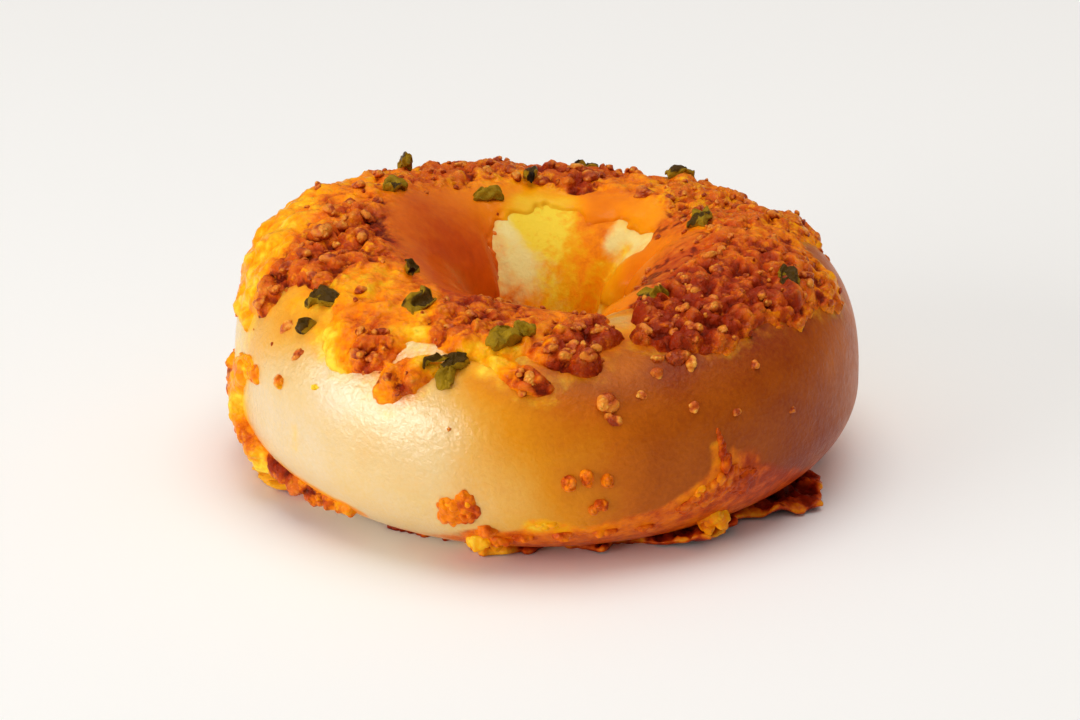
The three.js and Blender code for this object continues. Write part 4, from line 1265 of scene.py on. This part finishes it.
def strew(name, source, tree, values):
    """Runs the strewing nodes on a copy of a piece's mesh and returns the grains as one mesh."""
    carrier = bpy.data.objects.new(name + "_carrier", source.data.copy())
    bpy.context.scene.collection.objects.link(carrier)
    modifier = carrier.modifiers.new("Strew", "NODES")
    modifier.node_group = tree
    for item in tree.interface.items_tree:
        if item.in_out == "INPUT" and item.name in values:
            modifier[item.identifier] = values[item.name]
    bpy.context.view_layer.update()
    graph = bpy.context.evaluated_depsgraph_get()
    mesh = bpy.data.meshes.new_from_object(carrier.evaluated_get(graph))
    carrier.modifiers.remove(modifier)
    bpy.data.objects.remove(carrier)
    mesh.shade_smooth()
    return mesh


class BAGEL_OT_grains(bpy.types.Operator):
    """Strews fine toasted grains over the toasted cheese and the crust next to it"""
    bl_idname = "bagel.grains"
    bl_label = "Fine grains"

    def execute(self, context):
        sizes = context.scene.bagel_crumbs
        chance = np.random.default_rng(sizes.seed)
        shelf = bpy.data.collections.new("Grain forms")
        for number in range(6):
            points, faces, peak = crumb_form(chance, 2)
            stretch = (chance.uniform(0.7, 1.3), 1.0, 0.8)
            mesh = mesh_from(f"grain_{number}", points * stretch / MM, faces, {"peak": peak})
            shelf.objects.link(bpy.data.objects.new(f"grain_{number}", mesh))
        tree = strewing_tree()
        material = new_material("Toasted grain", crumb_finish, CRUMB_SHADER)
        square_cm = 1e-4
        shared = {"Grains": shelf, "Seed": sizes.seed, "Finish": material}
        layers = (  # name, carrier, look, then density, spacing and size as shares, and palest
            ("toast_grains", "cheese", "toasty", 1.0, 1, 1.0, 0.3),
            ("stray_grains", "dough", "dusting", 0.16, 2, 0.6, 0.8),
        )
        for name, carrier, look, density, spacing, scale, palest in layers:
            values = {
                **shared, "Look": look, "Density": density * sizes.per_square_cm / square_cm,
                "Spacing": spacing * sizes.spacing * MM, "Palest": palest,
                "Smallest": scale * sizes.smallest * MM, "Largest": scale * sizes.largest * MM,
            }
            mesh = strew(name, bpy.data.objects[carrier], tree, values)
            add_piece(name, mesh, material)
        for form in list(shelf.objects):
            bpy.data.objects.remove(form)
        bpy.data.collections.remove(shelf)
        return {"FINISHED"}


class BAGEL_OT_pepper(bpy.types.Operator):
    """Makes the pieces of chopped green pepper, set into the cheese"""
    bl_idname = "bagel.pepper"
    bl_label = "Pepper"

    def execute(self, context):
        sizes = context.scene.bagel_pepper
        unit, faces = ball(4)
        norm = (np.abs(unit) ** SQUARENESS).sum(axis=1) ** (1 / SQUARENESS)
        block = unit / norm[:, None]
        parts = []
        for number, (round_, over, length, width, turn, lift, char, skin) in enumerate(PEPPERS):
            shift = 9.7 * number
            points = block * (length / 2, width / 2, sizes.thickness / 2)
            x, y, z = warped(warped(points + shift, 1.9, 0.85), 0.9, 0.40).T - shift
            y = y * (1 - 0.4 * (x / length + 0.5))
            z = z - 0.07 * x ** 2 + sizes.wrinkle * lumpiness(points + shift, 1.2)
            z = z + 0.8 * sizes.wrinkle * lumpiness(points + shift, 0.5)
            points = np.stack([x, y, z], axis=-1)
            axes = stance(round_, over, turn, lift)
            raised = 0.12 * sizes.thickness + 0.3 * length * math.sin(math.radians(lift))
            out = directions_at(float(round_), float(over))[2]
            foot = topped_point(float(round_), float(over)) + raised * out
            ends = ramp(np.abs(block[:, 0]) + 0.4 * lumpiness(points + shift, 2.3), 0.6, 1.1)
            on_top = ramp(block[:, 2] + 0.35 * lumpiness(points + shift, 1.5), 0.2, 0.9)
            looks = {
                "skin": on_top * ramp(skin + 0.6 * lumpiness(points + shift, 2.6), 0.3, 0.6),
                "char": np.clip(char * (0.4 + 0.9 * ends), 0, 1),
            }
            parts.append((set_down(points, foot, axes) + RING_MIDDLE, faces, looks))
        material = new_material("Green pepper", pepper_finish, PEPPER_SHADER)
        add_piece("pepper", mesh_from("pepper", *joined(parts)), material)
        return {"FINISHED"}


class BAGEL_OT_frill(bpy.types.Operator):
    """Makes the lacy frill of crisp cheese round the foot"""
    bl_idname = "bagel.frill"
    bl_label = "Crisp frill"

    def execute(self, context):
        sizes = context.scene.bagel_frill
        round_ = np.arange(sizes.steps_round) * 360 / sizes.steps_round
        a = np.radians(round_)
        rim = np.stack([np.cos(a), np.sin(a), 0 * a], axis=-1) * sizes.foot_radius
        reach = bells(round_, FRILLS, least=0.6) + layered(rim, FRILL_LUMPS)
        edge = sizes.foot_radius + np.maximum(reach, -2.0)
        out = np.linspace(0, 1, sizes.steps_out) ** 0.8
        r = sizes.root_radius + (edge - sizes.root_radius)[:, None] * out
        flat = np.stack([r * np.cos(a)[:, None], r * np.sin(a)[:, None], 0 * r], axis=-1)
        long = ramp(reach, 1, 8)[:, None]
        curl = sizes.curl * long * out ** 3 * (0.75 + 0.75 * lumpiness(flat, 3.0))
        bead = (0.8 + 0.7 * long) * np.sin(np.pi * out) ** 0.6
        bubbles = 0.9 * cobbles(warped(flat, 2, 0.6), 2.2) + 0.5 * cobbles(flat + 9, 1.1)
        fine = 0.18 * lumpiness(flat, 0.8)
        lower = np.maximum(curl * out, 0)
        upper = lower + sizes.thickness + bead * (0.25 + bubbles + fine)
        lower[:, 0], upper[:, 0] = 0.0, 2.0
        rows = [flat + np.stack([0 * r, 0 * r, height], axis=-1) for height in (upper, lower)]
        points = np.concatenate([rows[0], rows[1][:, ::-1]], axis=1) + RING_MIDDLE
        crisp = 0.90 + 0.25 * lumpiness(flat, 3.4) - 0.30 * (bubbles - 0.6)
        crisp = crisp - 0.50 * out[None, :] ** 8 - 0.65 * bells(round_, YELLOW_FRILLS)[:, None]
        looks = {"crisp": np.concatenate([crisp, crisp[:, ::-1] + 0.2], axis=1)}
        faces = skin_faces(sizes.steps_round, 2 * sizes.steps_out)[:, ::-1]
        mesh = mesh_from("frill", points, faces, looks)
        material = new_material("Crisp cheese", frill_finish, CHEESE_SHADER)
        add_piece("frill", mesh, material)
        return {"FINISHED"}


class BAGEL_OT_stage(bpy.types.Operator):
    """Makes the plain floor, the soft lights and the camera"""
    bl_idname = "bagel.stage"
    bl_label = "Stage"

    def execute(self, context):
        scene, sizes = context.scene, context.scene.bagel_stage
        mesh = bpy.data.meshes.new("floor")
        mesh.from_pydata(FLOOR_CORNERS, [], [(0, 1, 2, 3)])
        floor = bpy.data.objects.new("floor", mesh)
        scene.collection.objects.link(floor)
        paper = bpy.data.materials.new("White paper")
        paper.use_nodes = True
        surface = paper.node_tree.nodes["Principled BSDF"]
        surface.inputs["Base Color"].default_value = PAPER_WHITE
        surface.inputs["Roughness"].default_value = 0.9
        mesh.materials.append(paper)

        world = bpy.data.worlds.new("Studio")
        world.use_nodes = True
        sky = world.node_tree.nodes["Background"]
        tree = world.node_tree
        outward = node(tree, "ShaderNodeTexCoord").outputs["Generated"]
        up = node(tree, "ShaderNodeSeparateXYZ", {"Vector": outward}).outputs["Z"]
        tree.links.new(colour_steps(tree, up, SKY_SHADES), sky.inputs["Color"])
        sky.inputs["Strength"].default_value = sizes.sky
        scene.world = world
        for name, place, width, height, share in LAMPS:
            lamp = bpy.data.lights.new(name, "AREA")
            lamp.energy = share * sizes.key_power
            lamp.shape = "ELLIPSE"
            lamp.size, lamp.size_y = width, height
            lamp.color = LAMP_WHITE
            shining = bpy.data.objects.new(name, lamp)
            shining.location = place
            shining.rotation_euler = (-Vector(place)).to_track_quat("-Z", "Y").to_euler()
            scene.collection.objects.link(shining)

        lens = bpy.data.cameras.new("camera")
        lens.sensor_width = SENSOR_WIDTH
        lens.lens = sizes.lens
        lens.clip_start = 0.01
        camera = bpy.data.objects.new("camera", lens)
        ahead = (CAMERA_AIM - CAMERA_PLACE).normalized()
        roll = Matrix.Rotation(math.radians(CAMERA_ROLL), 4, ahead)
        level = ahead.to_track_quat("-Z", "Y").to_matrix().to_4x4()
        camera.matrix_world = Matrix.Translation(CAMERA_PLACE * MM) @ roll @ level
        scene.collection.objects.link(camera)
        scene.camera = camera
        scene.view_settings.view_transform = "Standard"
        return {"FINISHED"}


class BAGEL_PT_sidebar(bpy.types.Panel):
    """Lists the bagel's settings and the steps that build it"""
    bl_idname = "BAGEL_PT_sidebar"
    bl_label = "Bagel"
    bl_space_type = "VIEW_3D"
    bl_region_type = "UI"
    bl_category = "Bagel"

    def draw(self, context):
        for name, settings, operators in STEPS:
            box = self.layout.box()
            box.label(text=name)
            group = getattr(context.scene, settings)
            for prop in group.bl_rna.properties:
                if prop.identifier not in ("name", "rna_type"):
                    box.prop(group, prop.identifier)
            for operator in operators:
                box.operator(operator.bl_idname)


# What the panel lists and main runs, in order: title, settings and operators
STEPS = (
    ("Dough", "bagel_dough", (BAGEL_OT_dough,)),
    ("Cheese", "bagel_cheese", (BAGEL_OT_cheese, BAGEL_OT_drops)),
    ("Crumbs", "bagel_crumbs", (BAGEL_OT_crumbs, BAGEL_OT_grains)),
    ("Pepper", "bagel_pepper", (BAGEL_OT_pepper,)),
    ("Frill", "bagel_frill", (BAGEL_OT_frill,)),
    ("Stage", "bagel_stage", (BAGEL_OT_stage,)),
)
SETTINGS = {
    "bagel_dough": BagelDoughSettings,
    "bagel_cheese": BagelCheeseSettings,
    "bagel_crumbs": BagelCrumbSettings,
    "bagel_pepper": BagelPepperSettings,
    "bagel_frill": BagelFrillSettings,
    "bagel_stage": BagelStageSettings,
}
OPERATORS = tuple(operator for _, _, operators in STEPS for operator in operators)


def register():
    for name, group in SETTINGS.items():
        bpy.utils.register_class(group)
        setattr(bpy.types.Scene, name, PointerProperty(type=group))
    for operator in OPERATORS:
        bpy.utils.register_class(operator)
    bpy.utils.register_class(BAGEL_PT_sidebar)


def unregister():
    bpy.utils.unregister_class(BAGEL_PT_sidebar)
    for operator in reversed(OPERATORS):
        bpy.utils.unregister_class(operator)
    for name, group in reversed(SETTINGS.items()):
        delattr(bpy.types.Scene, name)
        bpy.utils.unregister_class(group)


def main():
    register()
    for operator in OPERATORS:
        family, _, step = operator.bl_idname.partition(".")
        getattr(getattr(bpy.ops, family), step)()


if __name__ == "__main__":
    main()
